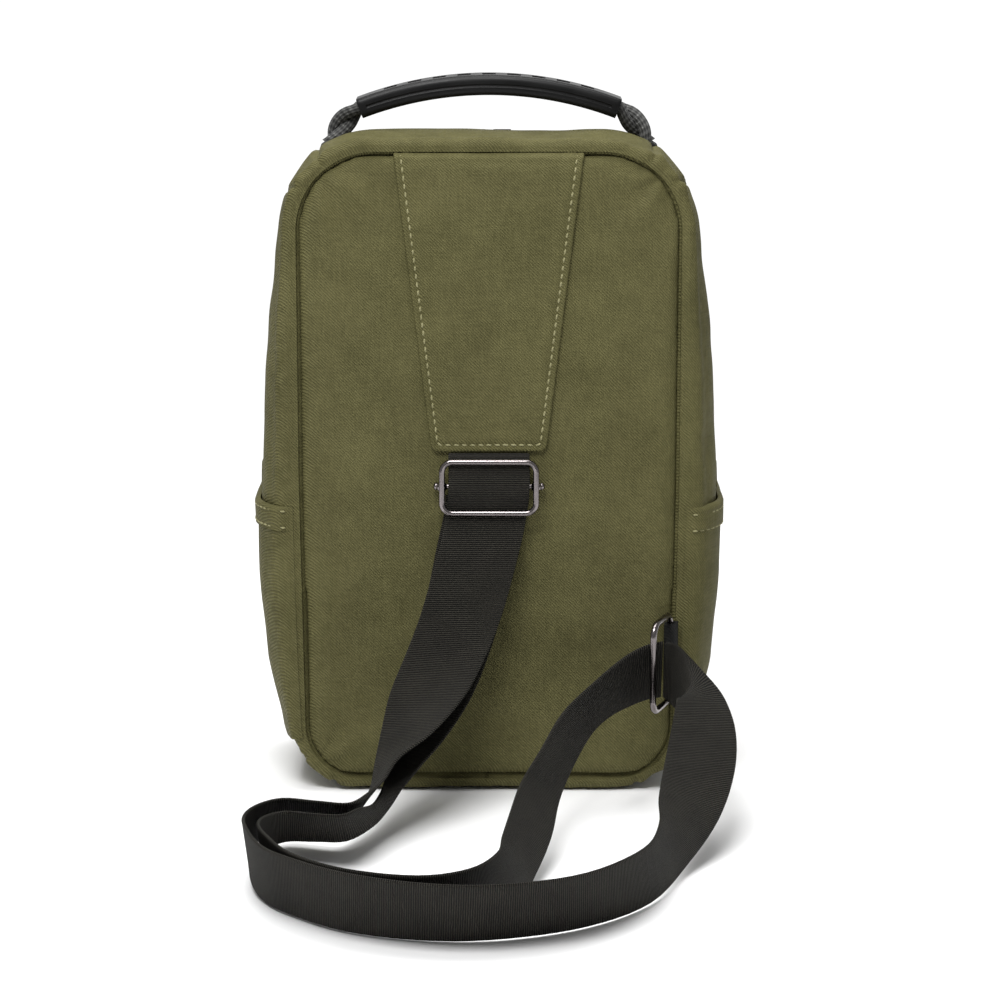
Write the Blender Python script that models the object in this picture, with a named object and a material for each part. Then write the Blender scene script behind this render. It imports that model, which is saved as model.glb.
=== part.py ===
"""Sling bag: a small upright one-shoulder backpack that stands on its base.

Metres, +Z up.  The origin is the centre of the flat bottom, the back panel
that lies against the wearer faces -Y, and the wearer's strap hangs from it.
The strap is one webbing: sewn under the yoke, through the adjuster, down to
the ground, through the ring at the lower right corner and back up to the
adjuster's centre bar.
"""
import math

import bmesh
import bpy
from mathutils import Matrix, Vector

MM = 0.001

# Driving dimensions of the bag body.
PANEL_HALF_W = 0.0872
PANEL_LOW = 0.0062
PANEL_HIGH = 0.2985
CORNER_TOP = 0.036
CORNER_LOW = 0.025
BACK_Y = -0.0450
SEAM_Y = 0.0440
FLAT_HALF = 0.0200
FRONT_Y = 0.0450
WALL = 0.0016
PANEL_THICK = 0.0020
FOAM_THICK = 0.0050
LINING_THICK = 0.0008
GAP = 0.0003

# How far the gusset swells out of the panel outline, against the height.
SWELL = ((0.0062, 0.0062), (0.030, 0.0100), (0.060, 0.0160), (0.100, 0.0192),
         (0.140, 0.0187), (0.180, 0.0165), (0.215, 0.0145), (0.250, 0.0105),
         (0.275, 0.0075), (0.310, 0.0080))

# The top falls gently from the wearer's side towards the front.
FALL_FROM_Y = -0.0200
FALL_FROM_Z = 0.2000
FALL = 0.2200

# The main zip runs over the top between these two depths, above SPLIT_Z.
ZIP_REAR_Y = -0.0050
ZIP_FRONT_Y = 0.0070
ZIP_MID_Y = 0.5 * (ZIP_REAR_Y + ZIP_FRONT_Y)
SPLIT_Z = 0.1420
ZIP_SINK = 0.0016
COIL_HALF = 0.0022
COIL_DEPTH = 0.0018

# Side and front pockets.
POCKET_LOW = 0.026
POCKET_HIGH = 0.1360
HEM_DEPTH = 0.0120
POCKET_THICK = 0.0012
POCKET_GAP = 0.0010
FRONT_POCKET = (-0.068, 0.026, 0.068, 0.118)
FRONT_POCKET_ZIP_Z = 0.1235

# Yoke, adjuster and ring.
YOKE_TOP_HALF = 0.0430
YOKE_LOW_HALF = 0.0263
YOKE_LOW = 0.1620
YOKE_THICK = 0.0020
ADJUSTER_Z = 0.1465
ADJUSTER_Y = -0.0530
ADJUSTER_HALF_W = 0.0215
ADJUSTER_HALF_H = 0.0119
ADJUSTER_WIRE = 0.0014
BAR_Y = -0.0495
BAR_R = 0.0012
BAR_HALF = 0.0247
EYE_IN = 0.0015
EYE_OUT = 0.0029
RING_PIVOT = (0.0835, -0.0495)
RING_OUTER = (0.0745, -0.0745)
RING_Z = 0.0665
RING_HALF_H = 0.0205
RING_WIRE = 0.0015
RING_CORNER = 0.0040
TAB_LOW = RING_Z - RING_HALF_H + RING_CORNER + GAP
TAB_HIGH = RING_Z + RING_HALF_H - RING_CORNER - GAP

# Carry handle.
HANDLE_Y = -0.0118
GRIP_HALF = 0.0600
GRIP_MID_Z = 0.3262
GRIP_RADIUS = 0.1660
GRIP_HALF_W = 0.0100
GRIP_HALF_H = 0.0046
ROPE_R = 0.0029
ROPE_OFFSET = 0.0033
ANCHOR_ANGLE = 61.0
ANCHOR_RISE = 0.0012
ROPE_RISE = 0.0050

WEB_THICK = 0.0014

# Zip sliders and pullers.
SLIDER_RISE = 0.0006
SLIDER_HEIGHT = 0.0016
PULLER_REACH = 0.0042
PULLER_LENGTH = 0.0200

# The strap's route in millimetres: at each station the right edge and the left
# edge of the webbing, as seen from behind the bag, from the yoke to the ring.
FRONT_RUN = (
    ((18.5, -47.2, 160.9), (-18.5, -47.2, 160.9)),
    ((18.5, -50.2, 158), (-18.5, -50.2, 158)),
    ((18.5, -53.5, 146.5), (-18.5, -53.5, 146.5)),
    ((17.5, -50.8, 135), (-19.5, -50.8, 135)),
    ((14, -55, 118), (-23, -55, 118)),
    ((6, -64, 90), (-31, -62, 90)),
    ((-2, -76, 72), (-38, -68, 72)),
    ((-11, -92, 59), (-45, -78, 56)),
    ((-25, -112, 48), (-49, -87, 39)),
    ((-39, -126, 41), (-51, -94, 29)),
    ((-46, -138, 34), (-53, -105, 19)),
    ((-52, -152, 32), (-58, -119, 14)),
    ((-60, -163, 31), (-66, -132, 9)),
    ((-74, -160, 31), (-76, -130, 8)),
    ((-89, -156, 31), (-90, -127, 8)),
    ((-99, -168, 32), (-100, -140, 8)),
    ((-103, -188, 34), (-102, -163, 6)),
    ((-101, -207, 35), (-100, -186, 3)),
    ((-94, -224, 32.5), (-94, -203, 1)),
    ((-82, -240, 32.5), (-83, -219, 1)),
    ((-57, -261, 32.5), (-58, -241, 1)),
    ((-24, -273, 32), (-25, -252, 1)),
    ((8, -272, 31.5), (7, -250, 1)),
    ((40, -258, 31.5), (41, -235, 1)),
    ((64, -228, 32), (68, -207, 1.5)),
    ((72, -195, 32), (86, -168, 6)),
    ((73, -168, 35), (100, -146, 18)),
    ((76, -147, 42), (108, -127, 33)),
    ((80, -128, 53), (110, -107, 46)),
    ((83, -115, 63), (106, -90, 57)),
    ((83, -108, 60), (98, -80, 66)),
    ((88, -93, 49), (90, -76, 74)),
    ((86, -68, 46), (85, -73, 78)),
    ((80.5, -54.5, 48.5), (80.5, -71.5, 79)),
)
# From the adjuster's centre bar to the ring.
REAR_RUN = (
    ((16.5, -47.6, 142), (-20, -47.6, 142)),
    ((16, -48.0, 134), (-20.5, -48.0, 134)),
    ((13, -50, 118), (-24, -49.5, 118)),
    ((6, -58, 90), (-30, -56, 90)),
    ((-1, -70, 70), (-37, -64, 68)),
    ((-9, -83, 54), (-44, -75, 49)),
    ((-20, -98, 41), (-46, -86, 35)),
    ((-30, -109, 32), (-46, -101, 28)),
    ((-38, -118, 24), (-47, -123, 26)),
    ((-45, -125, 16), (-50, -148, 26)),
    ((-51, -132, 11), (-56, -164, 29)),
    ((-62, -140, 7), (-63, -170, 28)),
    ((-76, -138, 6), (-76, -168, 28)),
    ((-89, -135, 5), (-87, -165, 28)),
    ((-96, -146, 5), (-95, -174, 29)),
    ((-97, -165, 4), (-97, -190, 31)),
    ((-92, -190, 2), (-93, -210, 33)),
    ((-81, -213, 1), (-81, -233, 32)),
    ((-58, -234, 1), (-58, -254, 32)),
    ((-28, -243, 1), (-28, -263, 32)),
    ((-5, -234, 1), (-7, -254, 32)),
    ((12, -212, 2), (4, -230, 31)),
    ((20, -184, 6), (6, -206, 30)),
    ((27, -158, 14), (9, -182, 32)),
    ((31, -130, 22), (14, -156, 38)),
    ((37, -108, 30), (23, -132, 46)),
    ((46, -88, 40), (33, -108, 56)),
    ((55, -72, 44), (47, -91, 65)),
    ((66, -59, 46), (61, -77, 73)),
    ((73, -55, 47.5), (71, -71, 77)),
    ((79, -54.5, 48.5), (79, -71, 79)),
)
STEPS_PER_STATION = 2

# Material name: colour, roughness, metallic.
FINISHES = {
    "olive_twill": ((0.125, 0.117, 0.045), 0.75, 0.0),
    "olive_lining": ((0.09, 0.085, 0.05), 0.85, 0.0),
    "foam": ((0.25, 0.25, 0.24), 0.95, 0.0),
    "black_webbing": ((0.025, 0.025, 0.022), 0.8, 0.0),
    "black_rope": ((0.02, 0.02, 0.02), 0.75, 0.0),
    "grip_rubber": ((0.02, 0.02, 0.021), 0.5, 0.0),
    "zip_tape": ((0.015, 0.015, 0.015), 0.85, 0.0),
    "zip_coil": ((0.02, 0.02, 0.02), 0.4, 0.0),
    "gunmetal": ((0.16, 0.145, 0.14), 0.25, 1.0),
    "stiff_board": ((0.05, 0.05, 0.05), 0.6, 0.0),
}


# ---------------------------------------------------------------- helpers
def clear_scene():
    for obj in list(bpy.data.objects):
        bpy.data.objects.remove(obj, do_unlink=True)


def finish_material(name):
    mat = bpy.data.materials.get(name)
    if mat:
        return mat
    mat = bpy.data.materials.new(name)
    mat.use_nodes = True
    colour, rough, metal = FINISHES[name]
    shader = mat.node_tree.nodes["Principled BSDF"]
    shader.inputs["Base Color"].default_value = (*colour, 1.0)
    shader.inputs["Roughness"].default_value = rough
    shader.inputs["Metallic"].default_value = metal
    return mat


def make_object(name, verts, faces, finish, smooth=False, origin=(0, 0, 0), parent=None):
    """A named object with its origin where its joint, if it has one, turns."""
    origin = Vector(origin)
    mesh = bpy.data.meshes.new(name)
    mesh.from_pydata([tuple(Vector(v) - origin) for v in verts], [], faces)
    bm = bmesh.new()
    bm.from_mesh(mesh)
    bmesh.ops.remove_doubles(bm, verts=bm.verts, dist=1e-6)
    bmesh.ops.recalc_face_normals(bm, faces=bm.faces)
    bmesh.ops.triangulate(bm, faces=bm.faces)
    bm.to_mesh(mesh)
    bm.free()
    mesh.materials.append(finish_material(finish))
    if smooth:
        mesh.shade_smooth()
        mesh.set_sharp_from_angle(angle=math.radians(40))
    obj = bpy.data.objects.new(name, mesh)
    bpy.context.scene.collection.objects.link(obj)
    obj.location = origin
    if parent:
        obj.parent = parent
        obj.matrix_parent_inverse = Matrix.Translation(parent.location).inverted()
    return obj


def pivot(name, location):
    """An empty on a joint's axis, which carries that joint's pieces."""
    empty = bpy.data.objects.new(name, None)
    empty.location = location
    bpy.context.scene.collection.objects.link(empty)
    return empty


def smooth_table(table, x):
    """A smooth curve through a table of (position, value) pairs."""
    points = list(table)
    if x <= points[0][0]:
        return points[0][1]
    for (x0, v0), (x1, v1) in zip(points, points[1:]):
        if x <= x1:
            t = (x - x0) / (x1 - x0)
            t = t * t * (3 - 2 * t) * 0.35 + t * 0.65
            return v0 + (v1 - v0) * t
    return points[-1][1]


def spline(points, steps):
    """A smooth curve through all the points, with steps parts to each stretch."""
    pts = [Vector(p) for p in points]
    pts = [2 * pts[0] - pts[1], *pts, 2 * pts[-1] - pts[-2]]
    out = []
    for a, b, c, d in zip(pts, pts[1:], pts[2:], pts[3:]):
        for k in range(steps):
            t = k / steps
            out.append(0.5 * (2 * b + (c - a) * t + (2 * a - 5 * b + 4 * c - d) * t * t
                              + (3 * b - a - 3 * c + d) * t ** 3))
    out.append(pts[-2])
    return out


def arc(cx, cz, radius, start, end, steps):
    """Points and outward directions round an arc, by angle in degrees."""
    out = []
    for i in range(steps + 1):
        a = math.radians(start + (end - start) * i / steps)
        out.append(((cx + radius * math.cos(a), cz + radius * math.sin(a)),
                    (math.cos(a), math.sin(a))))
    return out


def straight(p, q, normal, steps):
    return [((p[0] + (q[0] - p[0]) * i / steps, p[1] + (q[1] - p[1]) * i / steps), normal)
            for i in range(1, steps)]


def taper(x, z):
    """The panel narrows slightly towards the bottom."""
    return x - math.copysign(0.0022 * max(0.0, 1 - z / 0.15), x)


def outline_part(part):
    """One stretch of the panel outline as (point, outward direction), clockwise from the base."""
    w, lo, hi = PANEL_HALF_W, PANEL_LOW, PANEL_HIGH
    rt, rl = CORNER_TOP, CORNER_LOW
    if part == "bottom":
        return [((-w + rl, lo), (0, -1)), *straight((-w + rl, lo), (w - rl, lo), (0, -1), 5),
                ((w - rl, lo), (0, -1))]
    if part == "corner_low_right":
        return arc(w - rl, lo + rl, rl, -90, 0, 6)
    if part == "side_low_right":
        return [((w, lo + rl), (1, 0)), *straight((w, lo + rl), (w, SPLIT_Z), (1, 0), 5),
                ((w, SPLIT_Z), (1, 0))]
    if part == "side_high_right":
        return [((w, SPLIT_Z), (1, 0)), *straight((w, SPLIT_Z), (w, hi - rt), (1, 0), 5),
                ((w, hi - rt), (1, 0))]
    if part == "corner_top_right":
        return arc(w - rt, hi - rt, rt, 0, 90, 7)
    if part == "top":
        return [((w - rt, hi), (0, 1)), *straight((w - rt, hi), (-w + rt, hi), (0, 1), 4),
                ((-w + rt, hi), (0, 1))]
    mirrored = outline_part(part.replace("left", "right"))
    return [((-p[0], p[1]), (-n[0], n[1])) for p, n in reversed(mirrored)]


OUTLINE_ORDER = ("bottom", "corner_low_right", "side_low_right", "side_high_right",
                 "corner_top_right", "top", "corner_top_left", "side_high_left",
                 "side_low_left", "corner_low_left")


def whole_outline(inset=0.0, parts=OUTLINE_ORDER):
    out = []
    for part in parts:
        for p, n in outline_part(part):
            q = (taper(p[0] - n[0] * inset, p[1]) if p[0] else 0.0, p[1] - n[1] * inset)
            if not out or math.dist(q, out[-1]) > 1e-5:
                out.append(q)
    if math.dist(out[0], out[-1]) < 1e-5:
        out.pop()
    return out


def fallen(y, z):
    """The height of a point once the top has fallen towards the front."""
    share = max(0.0, min(1.0, (z - FALL_FROM_Z) / (PANEL_HIGH - FALL_FROM_Z)))
    return z - FALL * max(0.0, y - FALL_FROM_Y) * share * share * (3 - 2 * share)


def skin_point(p, n, y, sink=0.0):
    """A point of the gusset's outer surface, sunk by the given depth.

    Across the depth the surface is flat in the middle and an elliptical
    roll towards each seam.
    """
    swell = smooth_table(SWELL, p[1])
    roll = max(0.0, min(1.0, (abs(y) - FLAT_HALF) / (SEAM_Y - FLAT_HALF)))
    phi = math.asin(roll)
    face = Vector((math.cos(phi) * (SEAM_Y - FLAT_HALF), swell * math.sin(phi))).normalized()
    out = swell * math.cos(phi) - sink * face.x
    depth = y - sink * face.y * math.copysign(1.0, y)
    return (taper(p[0], p[1]) + n[0] * out, depth, fallen(depth, p[1] + n[1] * out))


def depth_rows(y0, y1, rows):
    """Depths from y0 to y1, closer together towards the seams."""
    a0 = math.asin(y0 / SEAM_Y)
    a1 = math.asin(y1 / SEAM_Y)
    return [SEAM_Y * math.sin(a0 + (a1 - a0) * i / rows) for i in range(rows + 1)]


def shell(name, stretches, y0, y1, rows, finish, sink=0.0, thick=WALL, trim=GAP / 2, parent=None,
          ends=None):
    """A piece of wall that follows the gusset's surface over some stretches of the outline."""
    line = []
    for part in stretches:
        for item in outline_part(part):
            if not line or math.dist(item[0], line[-1][0]) > 1e-5:
                line.append(item)
    if ends:
        line = clipped(line, *ends)
    line = trimmed(line, trim)
    depths = depth_rows(y0, y1, rows)
    outer = [[skin_point(p, n, y, sink) for y in depths] for p, n in line]
    inner = [[skin_point(p, n, y, sink + thick) for y in depths] for p, n in line]
    return grid_solid(name, outer, inner, finish, parent)


def clipped(line, low, high):
    """The part of a rising or falling stretch between two heights."""
    falling = line[0][0][1] > line[-1][0][1]
    if falling:
        line = line[::-1]

    def at(z):
        for (p, n), (q, m) in zip(line, line[1:]):
            if p[1] <= z <= q[1] and q[1] > p[1]:
                t = (z - p[1]) / (q[1] - p[1])
                normal = Vector(n).lerp(Vector(m), t).normalized()
                return ((p[0] + (q[0] - p[0]) * t, z), tuple(normal))
        return line[-1]

    kept = [item for item in line if low + MM < item[0][1] < high - MM]
    line = [at(low), *kept, at(high)]
    return line[::-1] if falling else line


def trimmed(line, trim):
    """The stretch without a hair's breadth at each end, so that neighbours don't touch."""
    def pulled(a, b):
        d = math.dist(a[0], b[0])
        t = trim / d
        point = tuple(a[0][k] + (b[0][k] - a[0][k]) * t for k in range(2))
        return (point, a[1])
    return [pulled(line[0], line[1]), *line[1:-1], pulled(line[-1], line[-2])]


def grid_solid(name, outer, inner, finish, parent=None, origin=(0, 0, 0), smooth=True):
    """A closed solid between two grids of points of the same size."""
    rows, cols = len(outer), len(outer[0])
    verts = [p for row in outer for p in row] + [p for row in inner for p in row]
    shift = rows * cols
    faces = []
    for i in range(rows - 1):
        for j in range(cols - 1):
            a, b = i * cols + j, i * cols + j + 1
            c, d = a + cols, b + cols
            faces.append((a, b, d, c))
            faces.append((a + shift, c + shift, d + shift, b + shift))
    for i in range(rows - 1):
        for j in (0, cols - 1):
            a, c = i * cols + j, (i + 1) * cols + j
            faces.append((a, c, c + shift, a + shift))
    for j in range(cols - 1):
        for i in (0, rows - 1):
            a, b = i * cols + j, i * cols + j + 1
            faces.append((a, b, b + shift, a + shift))
    return make_object(name, verts, faces, finish, smooth=smooth, origin=origin, parent=parent)


def slab(name, outline, y0, y1, finish, parent=None, origin=(0, 0, 0)):
    """A flat piece in the XZ plane, between two depths."""
    count = len(outline)
    verts = [(x, y0, z) for x, z in outline] + [(x, y1, z) for x, z in outline]
    faces = [tuple(range(count)), tuple(range(2 * count - 1, count - 1, -1))]
    faces += [(i, (i + 1) % count, count + (i + 1) % count, count + i) for i in range(count)]
    return make_object(name, verts, faces, finish, parent=parent, origin=origin)


def block(name, low, high, finish, bevel=0.0, parent=None, origin=(0, 0, 0)):
    """A box with bevelled edges."""
    bm = bmesh.new()
    bmesh.ops.create_cube(bm, size=1.0)
    size = [h - l for l, h in zip(low, high)]
    mid = [(h + l) / 2 for l, h in zip(low, high)]
    bmesh.ops.scale(bm, vec=size, verts=bm.verts)
    bmesh.ops.translate(bm, vec=mid, verts=bm.verts)
    if bevel:
        bmesh.ops.bevel(bm, geom=bm.edges, offset=bevel, segments=2, affect="EDGES")
    verts = [tuple(v.co) for v in bm.verts]
    faces = [tuple(v.index for v in f.verts) for f in bm.faces]
    bm.free()
    return make_object(name, verts, faces, finish, parent=parent, origin=origin)


def section_sweep(name, path, section, finish, closed=False, up=Vector((0, 1, 0)), parent=None,
                  origin=(0, 0, 0), offsets=None):
    """Sweep a closed section of (side, up) points along a path."""
    path = [Vector(p) for p in path]
    count = len(path)
    rings = []
    for i, p in enumerate(path):
        before = path[(i - 1) % count] if closed or i else path[0]
        after = path[(i + 1) % count] if closed or i < count - 1 else path[-1]
        along = (after - before).normalized()
        side = up.cross(along).normalized()
        high = along.cross(side).normalized()
        centre = p + (side * offsets[i][0] + high * offsets[i][1] if offsets else Vector())
        rings.append([centre + side * s + high * h for s, h in section])
    n = len(section)
    verts = [tuple(v) for ring in rings for v in ring]
    spans = count if closed else count - 1
    faces = []
    for i in range(spans):
        k = (i + 1) % count
        faces += [(i * n + j, i * n + (j + 1) % n, k * n + (j + 1) % n, k * n + j)
                  for j in range(n)]
    if not closed:
        faces.append(tuple(range(n)))
        faces.append(tuple((count - 1) * n + j for j in reversed(range(n))))
    return make_object(name, verts, faces, finish, smooth=True, parent=parent, origin=origin)


def circle(radius, sides):
    return [(radius * math.cos(2 * math.pi * i / sides), radius * math.sin(2 * math.pi * i / sides))
            for i in range(sides)]


def rounded_loop(half_w, half_h, radius, steps=4):
    """Points round a rounded rectangle."""
    out = []
    for sx, sy, start in ((1, 1, 0), (-1, 1, 90), (-1, -1, 180), (1, -1, 270)):
        for p, _ in arc(sx * (half_w - radius), sy * (half_h - radius), radius,
                        start, start + 90, steps):
            out.append(p)
    return out


def ribbon(name, stations, thick, finish, parent=None):
    """A webbing between two edge curves, with a real thickness."""
    right = spline([Vector(r) * MM for r, _ in stations], STEPS_PER_STATION)
    left = spline([Vector(l) * MM for _, l in stations], STEPS_PER_STATION)
    mids = [(a + b) / 2 for a, b in zip(right, left)]
    outer, inner = [], []
    for i, (r, l) in enumerate(zip(right, left)):
        along = mids[min(i + 1, len(mids) - 1)] - mids[max(i - 1, 0)]
        normal = along.cross(r - l).normalized() * (thick / 2)
        middle = (r + l) / 2
        outer.append([tuple(p + normal) for p in (r, middle, l)])
        inner.append([tuple(p - normal) for p in (r, middle, l)])
    return grid_solid(name, outer, inner, finish, parent)


# ---------------------------------------------------------------- body shell
def back_assembly():
    outline = whole_outline(0.0006)
    slab("back_panel", outline, BACK_Y, BACK_Y + PANEL_THICK, "olive_twill")
    inner = whole_outline(0.0040)
    foam_y = BACK_Y + PANEL_THICK + GAP
    slab("back_foam", inner, foam_y, foam_y + FOAM_THICK, "foam")
    lining_y = foam_y + FOAM_THICK + GAP
    slab("back_lining", inner, lining_y, lining_y + LINING_THICK, "olive_lining")
    pocket_y = lining_y + LINING_THICK + GAP
    slab("inner_slip_pocket", [(-0.070, 0.045), (0.070, 0.045), (0.070, 0.165), (-0.070, 0.165)],
         pocket_y, pocket_y + LINING_THICK, "olive_lining")


def yoke():
    radius = 0.0035
    steps = 4
    corner = arc(YOKE_LOW_HALF - radius, YOKE_LOW + radius, radius, -90, -8, steps)
    right = [p for p, _ in corner] + [(YOKE_TOP_HALF, PANEL_HIGH - 0.0010)]
    left = [(-x, z) for x, z in reversed(right)]
    y = BACK_Y - GAP
    slab("yoke", right + left, y - YOKE_THICK, y, "olive_twill")


def gussets():
    rear_seam, front_seam = -SEAM_Y, SEAM_Y
    shell("gusset_bottom", ["bottom"], rear_seam, front_seam, 7, "olive_twill")
    for side in ("left", "right"):
        shell(f"gusset_corner_low_{side}", [f"corner_low_{side}"], rear_seam, front_seam, 8,
              "olive_twill")
        shell(f"gusset_side_low_{side}", [f"side_low_{side}"], rear_seam, front_seam, 8,
              "olive_twill")
        shell(f"rear_gusset_side_{side}", [f"side_high_{side}"], rear_seam, ZIP_REAR_Y, 5,
              "olive_twill")
        shell(f"rear_gusset_corner_{side}", [f"corner_top_{side}"], rear_seam, ZIP_REAR_Y, 5,
              "olive_twill")
    shell("rear_gusset_top", ["top"], rear_seam, ZIP_REAR_Y, 5, "olive_twill")


ZIP_STRETCH = ("side_high_right", "corner_top_right", "top", "corner_top_left", "side_high_left")


def zip_rows(flap):
    """The two halves of the main zip: the rear one stays, the front one opens."""
    sink = ZIP_SINK + WALL
    mid = ZIP_MID_Y
    shell("zip_tape_rear", ZIP_STRETCH, ZIP_REAR_Y - 0.004, mid - GAP / 2, 2, "zip_tape",
          sink=sink, thick=0.0006, trim=0.0006)
    shell("zip_tape_front", ZIP_STRETCH, mid + GAP / 2, ZIP_FRONT_Y + 0.004, 2, "zip_tape",
          sink=sink, thick=0.0006, trim=0.0006, parent=flap)
    top = sink - GAP - COIL_DEPTH
    shell("zip_coil_rear", ZIP_STRETCH, mid - COIL_HALF, mid - GAP / 2, 1, "zip_coil",
          sink=top, thick=COIL_DEPTH, trim=0.0006)
    shell("zip_coil_front", ZIP_STRETCH, mid + GAP / 2, mid + COIL_HALF, 1, "zip_coil",
          sink=top, thick=COIL_DEPTH, trim=0.0006, parent=flap)


def front_flap(flap):
    front_seam = SEAM_Y
    for side in ("left", "right"):
        shell(f"flap_gusset_side_{side}", [f"side_high_{side}"], ZIP_FRONT_Y, front_seam, 5,
              "olive_twill", parent=flap)
        shell(f"flap_gusset_corner_{side}", [f"corner_top_{side}"], ZIP_FRONT_Y, front_seam, 5,
              "olive_twill", parent=flap)
    shell("flap_gusset_top", ["top"], ZIP_FRONT_Y, front_seam, 5, "olive_twill", parent=flap)
    upper = whole_outline(0.0006)
    upper = [(x, z) for x, z in upper if z > SPLIT_Z + 0.001]
    edge = max(x for x, _ in upper)
    upper = [(edge, SPLIT_Z + GAP), *upper, (-edge, SPLIT_Z + GAP)]
    upper = [(x, fallen(FRONT_Y, z)) for x, z in upper]
    slab("flap_panel", upper, FRONT_Y - PANEL_THICK, FRONT_Y, "olive_twill", parent=flap)


def front_lower():
    lower = [(x, z) for x, z in whole_outline(0.0006) if z < SPLIT_Z - 0.001]
    order = sorted(lower, key=lambda p: math.atan2(p[1] - SPLIT_Z, p[0]))
    edge = max(x for x, _ in order)
    order = [(-edge, SPLIT_Z - GAP), *order, (edge, SPLIT_Z - GAP)]
    slab("front_panel_lower", order, FRONT_Y - PANEL_THICK, FRONT_Y, "olive_twill")
    low_x, low_z, high_x, high_z = FRONT_POCKET
    y = FRONT_Y + GAP
    patch = [(x + (low_x + high_x) / 2, z + (low_z + high_z) / 2) for x, z in
             rounded_loop((high_x - low_x) / 2, (high_z - low_z) / 2, 0.012)]
    slab("front_pocket", patch, y, y + 0.0022, "olive_twill")
    zip_z = FRONT_POCKET_ZIP_Z
    block("front_pocket_tape", (low_x, y, high_z + GAP), (high_x, y + 0.0006, zip_z + 0.0055),
          "zip_tape")
    block("front_pocket_coil", (low_x + 0.002, y + 0.0009, zip_z - 0.0020),
          (high_x - 0.002, y + 0.0026, zip_z + 0.0020), "zip_coil")


def side_pockets():
    """Stretch pockets, flat against the gusset, each with a folded hem."""
    for side in ("left", "right"):
        stretch = [f"corner_low_{side}", f"side_low_{side}"]
        if side == "left":
            stretch.reverse()
        shell(f"side_pocket_{side}", stretch, -0.0415, 0.0415, 8, "olive_twill",
              sink=-(POCKET_GAP + POCKET_THICK), thick=POCKET_THICK,
              ends=(POCKET_LOW, POCKET_HIGH - HEM_DEPTH))
        shell(f"side_pocket_hem_{side}", [f"side_low_{side}"], -0.0415, 0.0415, 8,
              "olive_twill", sink=-(POCKET_GAP + 2 * POCKET_THICK), thick=2 * POCKET_THICK,
              ends=(POCKET_HIGH - HEM_DEPTH + GAP, POCKET_HIGH))


def bottom_board():
    block("bottom_board", (-0.060, -0.030, PANEL_LOW - 0.0008), (0.060, 0.036, PANEL_LOW + 0.0008),
          "stiff_board")


def zip_ends():
    """Folded fabric tabs that close the main zip's lower ends."""
    for side, sign in (("left", -1), ("right", 1)):
        p, n = ((sign * PANEL_HALF_W, SPLIT_Z), (sign, 0))
        outer = [skin_point((p[0], z), n, y, -0.0018) for z in (SPLIT_Z - 0.0040, SPLIT_Z + 0.0090)
                 for y in (-0.0080, 0.0015)]
        inner = [skin_point((p[0], z), n, y, -0.0004) for z in (SPLIT_Z - 0.0040, SPLIT_Z + 0.0090)
                 for y in (-0.0080, 0.0015)]
        grid_solid(f"zip_end_tab_{side}", [outer[:2], outer[2:]], [inner[:2], inner[2:]],
                   "olive_twill")


# ---------------------------------------------------------------- strap hardware
def adjuster():
    carrier = pivot("adjuster_slide", (0, ADJUSTER_Y, ADJUSTER_Z))
    loop = rounded_loop(ADJUSTER_HALF_W, ADJUSTER_HALF_H, 0.0045)
    path = [(x, ADJUSTER_Y, ADJUSTER_Z + z) for x, z in loop]
    section_sweep("adjuster_frame", path, circle(ADJUSTER_WIRE, 8), "gunmetal", closed=True,
                  parent=carrier, origin=carrier.location)
    bar = [(x, BAR_Y, ADJUSTER_Z) for x in (-BAR_HALF, 0, BAR_HALF)]
    section_sweep("adjuster_bar", bar, circle(BAR_R, 10), "gunmetal", parent=carrier,
                  origin=carrier.location)
    eye_half = 0.0183
    outer = circle(EYE_OUT, 14)
    inner = circle(EYE_IN, 14)
    verts = [(x, BAR_Y + a, ADJUSTER_Z + b) for x in (-eye_half, eye_half)
             for ring in (outer, inner) for a, b in ring]
    faces = []
    for i in range(14):
        k = (i + 1) % 14
        faces += [(i, k, 28 + k, 28 + i), (14 + i, 42 + i, 42 + k, 14 + k),
                  (i, 14 + i, 14 + k, k), (28 + i, 28 + k, 42 + k, 42 + i)]
    make_object("strap_eye", verts, faces, "black_webbing", smooth=True, parent=carrier,
                origin=carrier.location)


def ring_and_tab():
    px, py = RING_PIVOT
    ox, oy = RING_OUTER
    hinge = pivot("ring_hinge", (px, py, RING_Z))
    reach = math.hypot(ox - px, oy - py)
    direction = Vector(((ox - px) / reach, (oy - py) / reach, 0))
    centre = Vector((px, py, RING_Z)) + direction * (reach / 2)
    loop = rounded_loop(reach / 2, RING_HALF_H, RING_CORNER)
    path = [centre + direction * a + Vector((0, 0, b)) for a, b in loop]
    up = direction.cross(Vector((0, 0, 1)))
    section_sweep("strap_ring", path, circle(RING_WIRE, 8), "gunmetal", closed=True, up=up,
                  parent=hinge, origin=hinge.location)
    tube_in, tube_out = RING_WIRE + 0.0004, RING_WIRE + 0.0017
    tail_end = (0.0872, BACK_Y - GAP)
    outer = [(px + tube_out * math.cos(a), py + tube_out * math.sin(a)) for a in
             [math.radians(60 + 30 * i) for i in range(10)]]
    profile = outer + [(tail_end[0], tail_end[1] - 0.0011), tail_end]
    hole = [(px + tube_in * math.cos(a), py + tube_in * math.sin(a)) for a in
            [math.radians(30 * i) for i in range(12)]]
    ring_tab_solid(profile, hole)


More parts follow.
